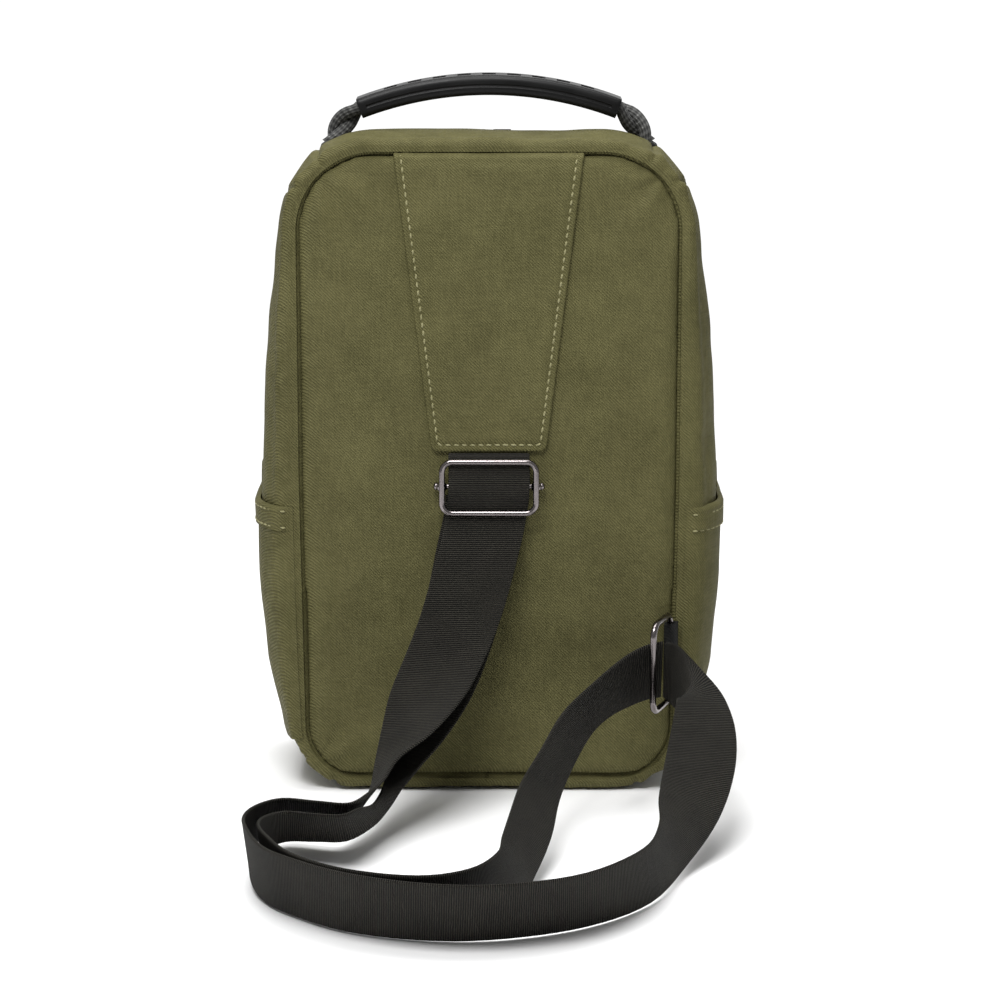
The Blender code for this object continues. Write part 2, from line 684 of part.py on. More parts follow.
def ring_tab_solid(profile, hole):
    """The tab's side profile with the ring's eye through it, extruded upwards."""
    bm = bmesh.new()
    loops = []
    for points in (profile, hole):
        verts = [bm.verts.new((x, y, TAB_LOW)) for x, y in points]
        edges = [bm.edges.new((verts[i], verts[(i + 1) % len(verts)])) for i in range(len(verts))]
        loops += edges
    bmesh.ops.triangle_fill(bm, use_beauty=True, edges=loops)
    made = bmesh.ops.extrude_face_region(bm, geom=bm.faces[:])
    moved = [v for v in made["geom"] if isinstance(v, bmesh.types.BMVert)]
    bmesh.ops.translate(bm, vec=(0, 0, TAB_HIGH - TAB_LOW), verts=moved)
    bm.verts.index_update()
    verts = [tuple(v.co) for v in bm.verts]
    faces = [tuple(v.index for v in f.verts) for f in bm.faces]
    bm.free()
    make_object("ring_tab", verts, faces, "black_webbing")


def strap():
    ribbon("strap_run_front", FRONT_RUN, WEB_THICK, "black_webbing")
    ribbon("strap_run_rear", REAR_RUN, WEB_THICK, "black_webbing")


# ---------------------------------------------------------------- handle
def handle_foot(sign):
    """Where the ropes meet the top corner, and the way they leave it."""
    a = math.radians(ANCHOR_ANGLE)
    mid_x, mid_z = PANEL_HALF_W - CORNER_TOP, PANEL_HIGH - CORNER_TOP
    p = (mid_x + CORNER_TOP * math.cos(a), mid_z + CORNER_TOP * math.sin(a))
    x, _, z = skin_point(p, (math.cos(a), math.sin(a)), HANDLE_Y)
    return Vector((sign * x, HANDLE_Y, z)), Vector((sign * math.cos(a), 0, math.sin(a)))


def handle():
    foot, away = handle_foot(-1)
    start = foot + away * ROPE_RISE
    swing = pivot("handle_swing", (0, HANDLE_Y, start.z))
    arc_centre = GRIP_MID_Z - GRIP_RADIUS
    angle = math.asin(GRIP_HALF / GRIP_RADIUS)
    steps = 14
    grip_path = []
    for i in range(steps + 1):
        a = -angle + 2 * angle * i / steps
        grip_path.append((GRIP_RADIUS * math.sin(a), HANDLE_Y,
                          arc_centre + GRIP_RADIUS * math.cos(a)))
    outer = rounded_loop(GRIP_HALF_H, GRIP_HALF_W, 0.0028, 2)
    bore = rounded_loop(ROPE_R + 0.0004, ROPE_R + ROPE_OFFSET + 0.0004, 0.0028, 2)
    hollow_sweep("handle_grip", grip_path, outer, bore, "grip_rubber", swing)
    left_end = Vector(grip_path[0])
    tail = spline([start, start + away * 0.0024, start + Vector((0.0004, 0, 0.0062)),
                   start + Vector((0.0052, 0, 0.0112)), left_end], 4)
    right_tail = [Vector((-p.x, p.y, p.z)) for p in reversed(tail)]
    path = tail + [Vector(p) for p in grip_path[1:-1]] + right_tail
    for name, phase in (("rope_front", 0.0), ("rope_rear", math.pi)):
        offsets = []
        last = len(path) - 1
        twisting = len(tail) - 1
        for i in range(len(path)):
            t = min(1.0, min(i, last - i) / twisting)
            a = phase + math.pi * (1 - t) * (1 if i < last / 2 else -1)
            offsets.append((ROPE_OFFSET * math.sin(a), ROPE_OFFSET * math.cos(a)))
        section_sweep(name, path, circle(ROPE_R, 8), "black_rope", offsets=offsets,
                      parent=swing, origin=swing.location)
    for side, sign in (("left", -1), ("right", 1)):
        foot, away = handle_foot(sign)
        stub = [foot + away * h for h in (2 * GAP, 2 * GAP + ANCHOR_RISE)]
        anchor = section_sweep(f"handle_anchor_{side}", stub,
                               rounded_loop(0.0040, 0.0066, 0.0015, 2), "black_webbing")
        for vertex in anchor.data.vertices:
            vertex.co.z -= FALL * (vertex.co.y - HANDLE_Y)


def hollow_sweep(name, path, outer, bore, finish, swing):
    """A grip with a tunnel for the ropes along its whole length."""
    path = [Vector(p) for p in path]
    n, m = len(outer), len(bore)
    verts, faces = [], []
    for i, p in enumerate(path):
        along = (path[min(i + 1, len(path) - 1)] - path[max(i - 1, 0)]).normalized()
        side = Vector((0, 1, 0)).cross(along).normalized()
        high = along.cross(side).normalized()
        verts += [p + side * s + high * h for s, h in outer + bore]
    ring = n + m
    for i in range(len(path) - 1):
        a, b = i * ring, (i + 1) * ring
        faces += [(a + j, a + (j + 1) % n, b + (j + 1) % n, b + j) for j in range(n)]
        faces += [(a + n + j, b + n + j, b + n + (j + 1) % m, a + n + (j + 1) % m)
                  for j in range(m)]
    for base in (0, (len(path) - 1) * ring):
        faces += [(base + j, base + n + j, base + n + (j + 1) % m, base + (j + 1) % n)
                  for j in range(n)]
    make_object(name, [tuple(v) for v in verts], faces, finish, smooth=True, parent=swing,
                origin=swing.location)


# ---------------------------------------------------------------- zip sliders
def zip_slider(name, x, lie):
    """A slider over the top of the main zip with its puller lying down the slope."""
    top = skin_point((0, PANEL_HIGH), (0, 1), ZIP_MID_Y)[2]
    slope = Matrix.Rotation(-math.atan(FALL), 4, "X")
    carrier = pivot(f"{name}_slide", (x, ZIP_MID_Y, top))
    body = block(f"{name}_body", (x - 0.0045, ZIP_MID_Y - 0.0036, top + SLIDER_RISE),
                 (x + 0.0045, ZIP_MID_Y + 0.0036, top + SLIDER_RISE + SLIDER_HEIGHT), "gunmetal",
                 0.0005, parent=carrier, origin=carrier.location)
    body.data.transform(slope)
    reach = slope @ Vector((0, PULLER_REACH, SLIDER_RISE + 0.5 * SLIDER_HEIGHT))
    spot = Vector((x, ZIP_MID_Y, top)) + reach
    hinge = pivot(f"{name}_puller_hinge", spot)
    hinge.parent = carrier
    hinge.matrix_parent_inverse = Matrix.Translation(carrier.location).inverted()
    puller = block(f"{name}_puller", (x + lie - 0.0026, spot.y, spot.z - 0.0006),
                   (x + lie + 0.0026, spot.y + PULLER_LENGTH, spot.z + 0.0006), "gunmetal", 0.0005,
                   parent=carrier, origin=spot)
    puller.data.transform(slope)


def pocket_slider():
    """The front pocket's slider, at the zip's closed end, with its puller hanging."""
    x = FRONT_POCKET[0] + 0.010
    y = FRONT_Y + GAP + 0.0026 + 0.0004
    z = FRONT_POCKET_ZIP_Z
    carrier = pivot("pocket_zip_slide", (x, y, z))
    block("pocket_slider_body", (x - 0.0045, y, z - 0.0034), (x + 0.0045, y + 0.0020, z + 0.0034),
          "gunmetal", 0.0006, parent=carrier, origin=carrier.location)
    hinge_y = y + 0.0030
    block("pocket_slider_puller", (x - 0.0026, hinge_y - 0.0006, z - 0.0220),
          (x + 0.0026, hinge_y + 0.0006, z), "gunmetal", 0.0004, parent=carrier,
          origin=(x, hinge_y, z))


def main():
    clear_scene()
    flap = pivot("flap_hinge", (0, FRONT_Y, SPLIT_Z))
    back_assembly()
    yoke()
    gussets()
    zip_rows(flap)
    front_flap(flap)
    front_lower()
    side_pockets()
    bottom_board()
    zip_ends()
    adjuster()
    ring_and_tab()
    strap()
    handle()
    zip_slider("zip_slider_left", -0.0060, 0.0)
    zip_slider("zip_slider_right", 0.0060, 0.0)
    pocket_slider()


main()
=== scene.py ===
"""Looks of the sling bag: fabric, webbing, braid, moulded grip and wire hardware.

Metres, +Z up, in the CAD model's own frame.  The wearer's side faces -Y.
"""

import math

import bmesh
import bpy
from mathutils import Matrix, Vector, noise
from mathutils.bvhtree import BVHTree


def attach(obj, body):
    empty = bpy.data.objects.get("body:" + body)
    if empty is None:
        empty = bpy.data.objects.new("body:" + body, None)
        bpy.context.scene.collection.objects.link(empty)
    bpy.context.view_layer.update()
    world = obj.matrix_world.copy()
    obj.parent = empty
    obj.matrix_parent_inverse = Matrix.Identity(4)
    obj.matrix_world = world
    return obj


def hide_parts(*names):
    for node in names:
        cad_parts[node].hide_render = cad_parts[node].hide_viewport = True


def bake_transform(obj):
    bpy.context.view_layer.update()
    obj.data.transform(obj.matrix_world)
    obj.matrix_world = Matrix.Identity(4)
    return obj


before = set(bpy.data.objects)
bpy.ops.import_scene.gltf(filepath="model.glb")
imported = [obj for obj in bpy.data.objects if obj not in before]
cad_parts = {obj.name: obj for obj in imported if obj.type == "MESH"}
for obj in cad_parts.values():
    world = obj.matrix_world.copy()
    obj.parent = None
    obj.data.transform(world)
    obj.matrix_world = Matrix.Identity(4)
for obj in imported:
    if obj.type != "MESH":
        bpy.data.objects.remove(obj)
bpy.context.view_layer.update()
bpy.ops.object.select_all(action="DESELECT")

MM = 0.001
BAG, FLAP, HANDLE, ADJUSTER, RING = "bag", "front_flap", "handle", "adjuster", "ring"

# The body's own measures, as in the CAD model.
PANEL_HALF_W = 0.0872
PANEL_LOW = 0.0062
PANEL_HIGH = 0.2985
CORNER_TOP = 0.036
CORNER_LOW = 0.025
SEAM_Y = 0.0440
FLAT_HALF = 0.0200
WALL = 0.0016
SWELL = ((0.0062, 0.0062), (0.030, 0.0100), (0.060, 0.0160), (0.100, 0.0192),
         (0.140, 0.0187), (0.180, 0.0165), (0.215, 0.0145), (0.250, 0.0105),
         (0.275, 0.0075), (0.310, 0.0080))
FALL_FROM_Y = -0.0200
FALL_FROM_Z = 0.2000
FALL = 0.2200
ZIP_REAR_Y = -0.0050
ZIP_FRONT_Y = 0.0070
ZIP_MID_Y = 0.5 * (ZIP_REAR_Y + ZIP_FRONT_Y)
ZIP_SINK = 0.0016
SPLIT_Z = 0.1420
POCKET_LOW = 0.026
POCKET_HIGH = 0.1360
POCKET_EDGE_Y = 0.0437
YOKE_TOP_HALF = 0.0430
YOKE_LOW_HALF = 0.0263
YOKE_LOW = 0.1620
ADJUSTER_Z = 0.1465
ADJUSTER_Y = -0.0530
ADJUSTER_HALF_W = 0.0215
ADJUSTER_HALF_H = 0.0119
ADJUSTER_WIRE = 0.0014
BAR_Y = -0.0495
BAR_HALF = 0.0247
RING_PIVOT = (0.0835, -0.0495)
RING_OUTER = (0.0745, -0.0745)
RING_Z = 0.0665
RING_HALF_H = 0.0205
RING_WIRE = 0.0015
HANDLE_Y = -0.0118
GRIP_HALF = 0.0600
GRIP_MID_Z = 0.3262
GRIP_RADIUS = 0.1660
GRIP_HALF_W = 0.0100
GRIP_HALF_H = 0.0046
ROPE_R = 0.0029
ROPE_OFFSET = 0.0033
ANCHOR_ANGLE = 61.0
WEB_THICK = 0.0014
WEB_WIDTH = 0.037

# The strap's route in millimetres, right edge and left edge at each station.
FRONT_RUN = (
    ((18.5, -47.2, 160.9), (-18.5, -47.2, 160.9)),
    ((18.5, -50.2, 158), (-18.5, -50.2, 158)),
    ((18.5, -53.5, 146.5), (-18.5, -53.5, 146.5)),
    ((17.5, -50.8, 135), (-19.5, -50.8, 135)),
    ((14, -55, 118), (-23, -55, 118)),
    ((6, -64, 90), (-31, -62, 90)),
    ((-2, -76, 72), (-38, -68, 72)),
    ((-11, -92, 59), (-45, -78, 56)),
    ((-25, -112, 48), (-49, -87, 39)),
    ((-39, -126, 41), (-51, -94, 29)),
    ((-46, -138, 34), (-53, -105, 19)),
    ((-52, -152, 32), (-58, -119, 14)),
    ((-60, -163, 31), (-66, -132, 9)),
    ((-74, -160, 31), (-76, -130, 8)),
    ((-89, -156, 31), (-90, -127, 8)),
    ((-99, -168, 32), (-100, -140, 8)),
    ((-103, -188, 34), (-102, -163, 6)),
    ((-101, -207, 35), (-100, -186, 3)),
    ((-94, -224, 32.5), (-94, -203, 1)),
    ((-82, -240, 32.5), (-83, -219, 1)),
    ((-57, -261, 32.5), (-58, -241, 1)),
    ((-24, -273, 32), (-25, -252, 1)),
    ((8, -272, 31.5), (7, -250, 1)),
    ((40, -258, 31.5), (41, -235, 1)),
    ((64, -228, 32), (68, -207, 1.5)),
    ((72, -195, 32), (86, -168, 6)),
    ((73, -168, 35), (100, -146, 18)),
    ((76, -147, 42), (108, -127, 33)),
    ((80, -128, 53), (110, -107, 46)),
    ((83, -115, 63), (106, -90, 57)),
    ((83, -108, 60), (98, -80, 66)),
    ((88, -93, 49), (90, -76, 74)),
    ((86, -68, 46), (85, -73, 78)),
    ((80.5, -54.5, 48.5), (80.5, -71.5, 79)),
)
REAR_RUN = (
    ((16.5, -47.6, 142), (-20, -47.6, 142)),
    ((16, -48.0, 134), (-20.5, -48.0, 134)),
    ((13, -50, 118), (-24, -49.5, 118)),
    ((6, -58, 90), (-30, -56, 90)),
    ((-1, -70, 70), (-37, -64, 68)),
    ((-9, -83, 54), (-44, -75, 49)),
    ((-20, -98, 41), (-46, -86, 35)),
    ((-30, -109, 32), (-46, -101, 28)),
    ((-38, -118, 24), (-47, -123, 26)),
    ((-45, -125, 16), (-50, -148, 26)),
    ((-51, -132, 11), (-56, -164, 29)),
    ((-62, -140, 7), (-63, -170, 28)),
    ((-76, -138, 6), (-76, -168, 28)),
    ((-89, -135, 5), (-87, -165, 28)),
    ((-96, -146, 5), (-95, -174, 29)),
    ((-97, -165, 4), (-97, -190, 31)),
    ((-92, -190, 2), (-93, -210, 33)),
    ((-81, -213, 1), (-81, -233, 32)),
    ((-58, -234, 1), (-58, -254, 32)),
    ((-28, -243, 1), (-28, -263, 32)),
    ((-5, -234, 1), (-7, -254, 32)),
    ((12, -212, 2), (4, -230, 31)),
    ((20, -184, 6), (6, -206, 30)),
    ((27, -158, 14), (9, -182, 32)),
    ((31, -130, 22), (14, -156, 38)),
    ((37, -108, 30), (23, -132, 46)),
    ((46, -88, 40), (33, -108, 56)),
    ((55, -72, 44), (47, -91, 65)),
    ((66, -59, 46), (61, -77, 73)),
    ((73, -55, 47.5), (71, -71, 77)),
    ((79, -54.5, 48.5), (79, -71, 79)),
)


# ------------------------------------------------------------------ camera
CAMERA_PLACE = (0.005, -1.512, 0.451)
CAMERA_TILT = 78
LENS, SENSOR = 117.9, 36


def set_camera():
    data = bpy.data.cameras.new("camera")
    data.lens = LENS
    data.sensor_width = SENSOR
    camera = bpy.data.objects.new("camera", data)
    camera.location = CAMERA_PLACE
    camera.rotation_euler = (math.radians(CAMERA_TILT), 0, 0)
    bpy.context.scene.collection.objects.link(camera)
    bpy.context.scene.camera = camera


set_camera()


# ------------------------------------------------------------------ node helpers
class Graph:
    """A node tree with short calls to add and join nodes."""

    def __init__(self, tree):
        self.tree = tree

    def add(self, kind, **settings):
        node = self.tree.nodes.new(kind)
        for key, value in settings.items():
            setattr(node, key, value)
        return node

    def join(self, source, target):
        self.tree.links.new(source, target)

    def math(self, operation, a, b=0.0):
        node = self.add("ShaderNodeMath", operation=operation)
        for socket, value in zip(node.inputs, (a, b)):
            if isinstance(value, bpy.types.NodeSocket):
                self.join(value, socket)
            else:
                socket.default_value = value
        return node.outputs[0]

    def from_vector(self, kind, vector, output, values, **settings):
        node = self.add(kind, **settings)
        for label, value in values.items():
            node.inputs[label].default_value = value
        self.join(vector, node.inputs["Vector"])
        return node.outputs[output]

    def noise(self, vector, scale, detail=3.0, roughness=0.5):
        return self.from_vector("ShaderNodeTexNoise", vector, "Fac",
                                {"Scale": scale, "Detail": detail, "Roughness": roughness})

    def wave(self, vector, pitch, direction, distortion, detail, detail_scale):
        """Ridges with the given pitch in metres."""
        values = {"Scale": 2 * math.pi / 10 / pitch, "Distortion": distortion,
                  "Detail": detail, "Detail Scale": detail_scale}
        return self.from_vector("ShaderNodeTexWave", vector, "Fac", values, wave_type="BANDS",
                                bands_direction=direction)

    def stretch(self, vector, scale):
        return self.from_vector("ShaderNodeMapping", vector, "Vector", {"Scale": scale})

    def ramp(self, value, low, high, to_low=0.0, to_high=1.0):
        node = self.add("ShaderNodeMapRange")
        for key, number in (("From Min", low), ("From Max", high), ("To Min", to_low),
                            ("To Max", to_high)):
            node.inputs[key].default_value = number
        self.join(value, node.inputs["Value"])
        return node.outputs["Result"]

    def mix(self, factor, dark, light):
        """A colour between two, with the unnamed colour sockets taken by number."""
        node = self.add("ShaderNodeMix", data_type="RGBA")
        self.join(factor, node.inputs[0])
        node.inputs[6].default_value = (*dark, 1.0)
        node.inputs[7].default_value = (*light, 1.0)
        return node.outputs[2]


def twill_group():
    """Fine diagonal twill with slubs: a height, and a shade of colour that varies over the cloth,
    with painted shade darker between the twill's ridges.
    """
    tree = bpy.data.node_groups.new("twill", "ShaderNodeTree")
    tree.interface.new_socket("Vector", in_out="INPUT", socket_type="NodeSocketVector")
    for label in ("Height", "Shade"):
        tree.interface.new_socket(label, in_out="OUTPUT", socket_type="NodeSocketFloat")
    g = Graph(tree)
    given, out = g.add("NodeGroupInput"), g.add("NodeGroupOutput")
    place = given.outputs["Vector"]
    ridges = g.wave(place, 0.00150, "DIAGONAL", 2.4, 3.0, 1.0)
    broken = g.noise(place, 260.0, 3.0, 0.6)
    ridges = g.math("MULTIPLY", ridges, g.ramp(broken, 0.3, 0.6, 0.35, 1.0))
    across = g.noise(g.stretch(place, (110.0, 110.0, 1300.0)), 1.0, 3.0)
    upright = g.noise(g.stretch(place, (1300.0, 1300.0, 110.0)), 1.0, 3.0)
    yarns = g.math("ADD", across, upright)
    height = g.math("ADD", g.math("MULTIPLY", ridges, 1.0), g.math("MULTIPLY", yarns, 0.35))
    patches = g.noise(place, 24.0, 5.0, 0.6)
    blotches = g.noise(place, 80.0, 4.0, 0.6)
    shade = g.math("ADD", g.math("MULTIPLY", patches, 0.5), g.math("MULTIPLY", blotches, 0.28))
    shade = g.math("ADD", shade, g.math("MULTIPLY", g.math("SUBTRACT", yarns, 1.0), 0.34))
    # painted shade: the colour is lighter on the twill's ridges and darker between them
    shade = g.math("ADD", shade, g.math("MULTIPLY", ridges, 0.42))
    g.join(height, out.inputs["Height"])
    g.join(shade, out.inputs["Shade"])
    return tree


TWILL = twill_group()


def new_material(name, colour, roughness, metallic=0.0, sheen=0.0, specular=0.5):
    mat = bpy.data.materials.new(name)
    mat.use_nodes = True
    shader = mat.node_tree.nodes["Principled BSDF"]
    shader.inputs["Base Color"].default_value = (*colour, 1.0)
    shader.inputs["Roughness"].default_value = roughness
    shader.inputs["Metallic"].default_value = metallic
    shader.inputs["Sheen Weight"].default_value = sheen
    shader.inputs["Sheen Roughness"].default_value = 0.45
    shader.inputs["Specular IOR Level"].default_value = specular
    return mat, Graph(mat.node_tree), shader


def add_bump(g, shader, height, strength, distance):
    bump = g.add("ShaderNodeBump")
    bump.inputs["Strength"].default_value = strength
    bump.inputs["Distance"].default_value = distance
    g.join(height, bump.inputs["Height"])
    g.join(bump.outputs["Normal"], shader.inputs["Normal"])


def cloth_material(name, dark, light, strength=0.75, sheen=0.0):
    mat, g, shader = new_material(name, light, 0.62, sheen=sheen, specular=0.08)
    place = g.add("ShaderNodeTexCoord").outputs["Object"]
    weave = g.add("ShaderNodeGroup", node_tree=TWILL)
    g.join(place, weave.inputs["Vector"])
    shade = g.ramp(weave.outputs["Shade"], 0.26, 0.86)
    g.join(g.mix(shade, dark, light), shader.inputs["Base Color"])
    g.join(g.ramp(weave.outputs["Shade"], 0.3, 0.8, 0.68, 0.56), shader.inputs["Roughness"])
    add_bump(g, shader, weave.outputs["Height"], strength, 0.0004)
    return mat


def webbing_material(name, dark, light):
    """Ribbed webbing: the ribs lie across the length, on the piece's own UV map in metres."""
    mat, g, shader = new_material(name, light, 0.78, sheen=0.03, specular=0.14)
    uv = g.add("ShaderNodeUVMap", uv_map="cloth").outputs["UV"]
    ribs = g.wave(uv, 0.0019, "Y", 0.8, 2.0, 2.0)
    yarns = g.wave(uv, 0.00105, "X", 1.0, 1.0, 2.0)
    fuzz = g.noise(uv, 900.0, 3.0)
    wide = g.noise(uv, 60.0, 3.0)
    height = g.math("ADD", ribs, g.math("MULTIPLY", yarns, 0.45))
    height = g.math("ADD", height, g.math("MULTIPLY", fuzz, 0.5))
    # painted shade: the colour is darker between the ribs and yarns, over a random tone
    tone_and_painted_groove_shade = g.math("ADD", g.math("MULTIPLY", height, 0.42), g.math("MULTIPLY", wide, 0.2))
    g.join(g.mix(g.ramp(tone_and_painted_groove_shade, 0.42, 0.92), dark, light), shader.inputs["Base Color"])
    add_bump(g, shader, height, 1.0, 0.0009)
    return mat


def rope_material(name, dark, light):
    """Diamond braid with a few pale flecks, on the piece's own UV map in turns and metres."""
    mat, g, shader = new_material(name, dark, 0.7, sheen=0.1, specular=0.35)
    uv = g.add("ShaderNodeUVMap", uv_map="cloth").outputs["UV"]
    parts = g.add("ShaderNodeSeparateXYZ")
    g.join(uv, parts.inputs[0])
    turn, along = parts.outputs["X"], parts.outputs["Y"]
    lean = g.math("MULTIPLY", along, 2 * math.pi / 0.0052)
    round_ = g.math("MULTIPLY", turn, 2 * math.pi * 6)
    one = g.math("SINE", g.math("ADD", round_, lean))
    two = g.math("SINE", g.math("SUBTRACT", round_, lean))
    braid = g.math("MULTIPLY", one, two)
    height = g.math("ADD", g.math("MULTIPLY", braid, 0.5), 0.5)
    fleck = g.ramp(g.noise(g.stretch(uv, (14.0, 1100.0, 1.0)), 1.0, 2.0), 0.56, 0.66)
    fleck = g.math("MULTIPLY", fleck, g.ramp(height, 0.45, 0.8))
    # painted shade: the colour is darker between the braid's strands and lighter on their crowns,
    # plus the pale flecks
    tone_and_painted_groove_shade = g.math("ADD", g.math("MULTIPLY", height, 0.35), g.math("MULTIPLY", fleck, 0.65))
    g.join(g.mix(tone_and_painted_groove_shade, dark, light), shader.inputs["Base Color"])
    add_bump(g, shader, height, 0.8, 0.0005)
    return mat


def grained_material(name, colour, roughness, metallic=0.0, grain=900.0, strength=0.15,
                     vary=0.25, specular=0.5):
    """Plastic, rubber or metal with a fine grain and slightly uneven gloss."""
    mat, g, shader = new_material(name, colour, roughness, metallic, specular=specular)
    place = g.add("ShaderNodeTexCoord").outputs["Object"]
    fine = g.noise(place, grain, 3.0)
    wide = g.noise(place, 70.0, 4.0)
    low = tuple(c * (1 - vary) for c in colour)
    high = tuple(min(1.0, c * (1 + vary)) for c in colour)
    g.join(g.mix(g.ramp(wide, 0.3, 0.7), low, high), shader.inputs["Base Color"])
    g.join(g.ramp(wide, 0.3, 0.7, roughness * 0.85, roughness * 1.15),
           shader.inputs["Roughness"])
    add_bump(g, shader, fine, strength, 0.0001)
    return mat


OLIVE = cloth_material("olive_twill", (0.060, 0.056, 0.022), (0.138, 0.128, 0.054))
LINING = cloth_material("bag_lining", (0.035, 0.034, 0.024), (0.060, 0.058, 0.042), 0.2)
TAPE = cloth_material("zip_tape_weave", (0.010, 0.010, 0.010), (0.022, 0.022, 0.021), 0.4)
THREAD = cloth_material("khaki_thread", (0.20, 0.19, 0.095), (0.32, 0.30, 0.17), 0.3)
WEBBING = webbing_material("charcoal_webbing", (0.004, 0.004, 0.003), (0.092, 0.083, 0.064))
BRAID = rope_material("black_braid", (0.004, 0.004, 0.004), (0.20, 0.20, 0.19))
GRIP = grained_material("moulded_grip", (0.0045, 0.0045, 0.0045), 0.40, grain=1600.0,
                        strength=0.25, specular=0.2)
GUNMETAL = grained_material("gunmetal", (0.20, 0.18, 0.18), 0.2, 1.0, strength=0.04, vary=0.12)
COIL = grained_material("nylon_coil", (0.018, 0.018, 0.018), 0.38, vary=0.3)
BOARD = grained_material("stiff_board", (0.035, 0.035, 0.034), 0.6, grain=700.0, strength=0.3)


# ------------------------------------------------------------------ mesh helpers
def new_piece(name, verts, faces, mat, body, replaced=(), uvs=None, angle=40):
    """A finished mesh piece on its body, standing for the named CAD nodes."""
    mesh = bpy.data.meshes.new(name)
    mesh.from_pydata([(v[0], v[1], max(0.0, v[2])) for v in verts], [], faces)
    mesh.update()
    if uvs:
        layer = mesh.uv_layers.new(name="cloth")
        for loop in mesh.loops:
            layer.data[loop.index].uv = uvs[loop.vertex_index]
    piece = bpy.data.objects.new(name, mesh)
    bpy.context.scene.collection.objects.link(piece)
    return dressed(piece, mat, body, replaced, angle)


def dressed(piece, mat, body, replaced=(), angle=40):
    piece.data.materials.clear()
    piece.data.materials.append(mat)
    piece.data.shade_smooth()
    piece.data.set_sharp_from_angle(angle=math.radians(angle))
    if replaced:
        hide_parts(*replaced)
    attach(piece, body)
    return piece


def between_grids(outer, inner):
    """Vertices and faces of a closed solid between two grids of the same size."""
    rows, cols = len(outer), len(outer[0])
    verts = [p for row in outer for p in row] + [p for row in inner for p in row]
    shift = rows * cols
    faces = []
    for i in range(rows - 1):
        for j in range(cols - 1):
            a, b = i * cols + j, i * cols + j + 1
            c, d = a + cols, b + cols
            faces += [(a, b, d, c), (a + shift, c + shift, d + shift, b + shift)]
        for j, flip in ((0, False), (cols - 1, True)):
            a, c = i * cols + j, (i + 1) * cols + j
            quad = (a, c, c + shift, a + shift)
            faces.append(quad[::-1] if flip else quad)
    for j in range(cols - 1):
        for i, flip in ((0, True), (rows - 1, False)):
            a, b = i * cols + j, i * cols + j + 1
            quad = (a, b, b + shift, a + shift)
            faces.append(quad[::-1] if flip else quad)
    return verts, faces


def outward(piece):
    """Turn a closed piece's faces outwards."""
    bm = bmesh.new()
    bm.from_mesh(piece.data)
    bmesh.ops.recalc_face_normals(bm, faces=bm.faces)
    bm.to_mesh(piece.data)
    bm.free()
    return piece


def spline(points, steps):
    """A smooth curve through all the points, with steps parts to each stretch."""
    pts = [Vector(p) for p in points]
    pts = [2 * pts[0] - pts[1], *pts, 2 * pts[-1] - pts[-2]]
    out = []
    for a, b, c, d in zip(pts, pts[1:], pts[2:], pts[3:]):
        for k in range(steps):
            t = k / steps
            out.append(0.5 * (2 * b + (c - a) * t + (2 * a - 5 * b + 4 * c - d) * t * t
                              + (3 * b - a - 3 * c + d) * t ** 3))
    out.append(pts[-2])
    return out


def lengths(points):
    """The distance along a line of points, at each point."""
    out = [0.0]
    for a, b in zip(points, points[1:]):
        out.append(out[-1] + (Vector(b) - Vector(a)).length)
    return out


def bell(x, width):
    return math.exp(-(x / width) ** 2)


def rounded(edge, radius):
    """The height of a rounded rim, from 0 at its edge to 1 at its radius inside."""
    return math.sqrt(max(0.0, 1 - max(0.0, 1 - edge / radius) ** 2))


def tube_faces(rings, sides, base=0):
    """The wall and the two ends of a tube of vertex rings."""
    faces = [(base + i * sides + j, base + i * sides + (j + 1) % sides,
              base + (i + 1) * sides + (j + 1) % sides, base + (i + 1) * sides + j)
             for i in range(rings - 1) for j in range(sides)]
    faces.append(tuple(base + j for j in reversed(range(sides))))
    faces.append(tuple(base + (rings - 1) * sides + j for j in range(sides)))
    return faces


def modified(piece, kind, **settings):
    """Put a modifier on the piece and apply it."""
    bpy.context.view_layer.objects.active = piece
    modifier = piece.modifiers.new(kind, kind)
    for key, value in settings.items():
        setattr(modifier, key, value)
    bpy.ops.object.modifier_apply(modifier=modifier.name)


def ripple(p, scale, seed=0.0):
    """Smooth wrinkles between -1 and 1, the same on each run."""
    return noise.noise(Vector((p[0] * scale + seed, p[1] * scale + 7.3, p[2] * scale - seed)))


# ------------------------------------------------------------------ strap
def webbing_run(name, stations, node):
    """A flat strap between two edge curves, with rounded selvedges."""
    right = spline([Vector(r) * MM for r, _ in stations], 5)
    left = spline([Vector(l) * MM for _, l in stations], 5)
    mids = [(a + b) / 2 for a, b in zip(right, left)]
    run = lengths(mids)
    across = [-1, -0.985, -0.94, -0.86, -0.6, -0.3, 0, 0.3, 0.6, 0.86, 0.94, 0.985, 1]
    outer, inner, uv = [], [], []
    for i, (r, l) in enumerate(zip(right, left)):
        along = mids[min(i + 1, len(mids) - 1)] - mids[max(i - 1, 0)]
        normal = along.cross(r - l).normalized()
        half = (r - l) / 2
        row_out, row_in = [], []
        for t in across:
            rim = math.sqrt(max(0.0, 1 - max(0.0, (abs(t) - 0.94) / 0.06) ** 2))
            thick = WEB_THICK / 2 * (0.25 + 0.75 * rim) * (1.0 + 0.12 * bell(abs(t) - 0.93, 0.05))
            p = mids[i] + half * t
            row_out.append(p + normal * thick)
            row_in.append(p - normal * thick)
            uv.append((t * WEB_WIDTH / 2, run[i]))
        outer.append(row_out)
        inner.append(row_in)
    verts, faces = between_grids(outer, inner)
    piece = new_piece(name, verts, faces, WEBBING, BAG, (node,), uv + uv, 60)
    outward(piece)
    piece.parent = None
    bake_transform(piece)
    return piece


webbing_run("strap_front_run", FRONT_RUN, "strap_run_front")
webbing_run("strap_rear_run", REAR_RUN, "strap_run_rear")


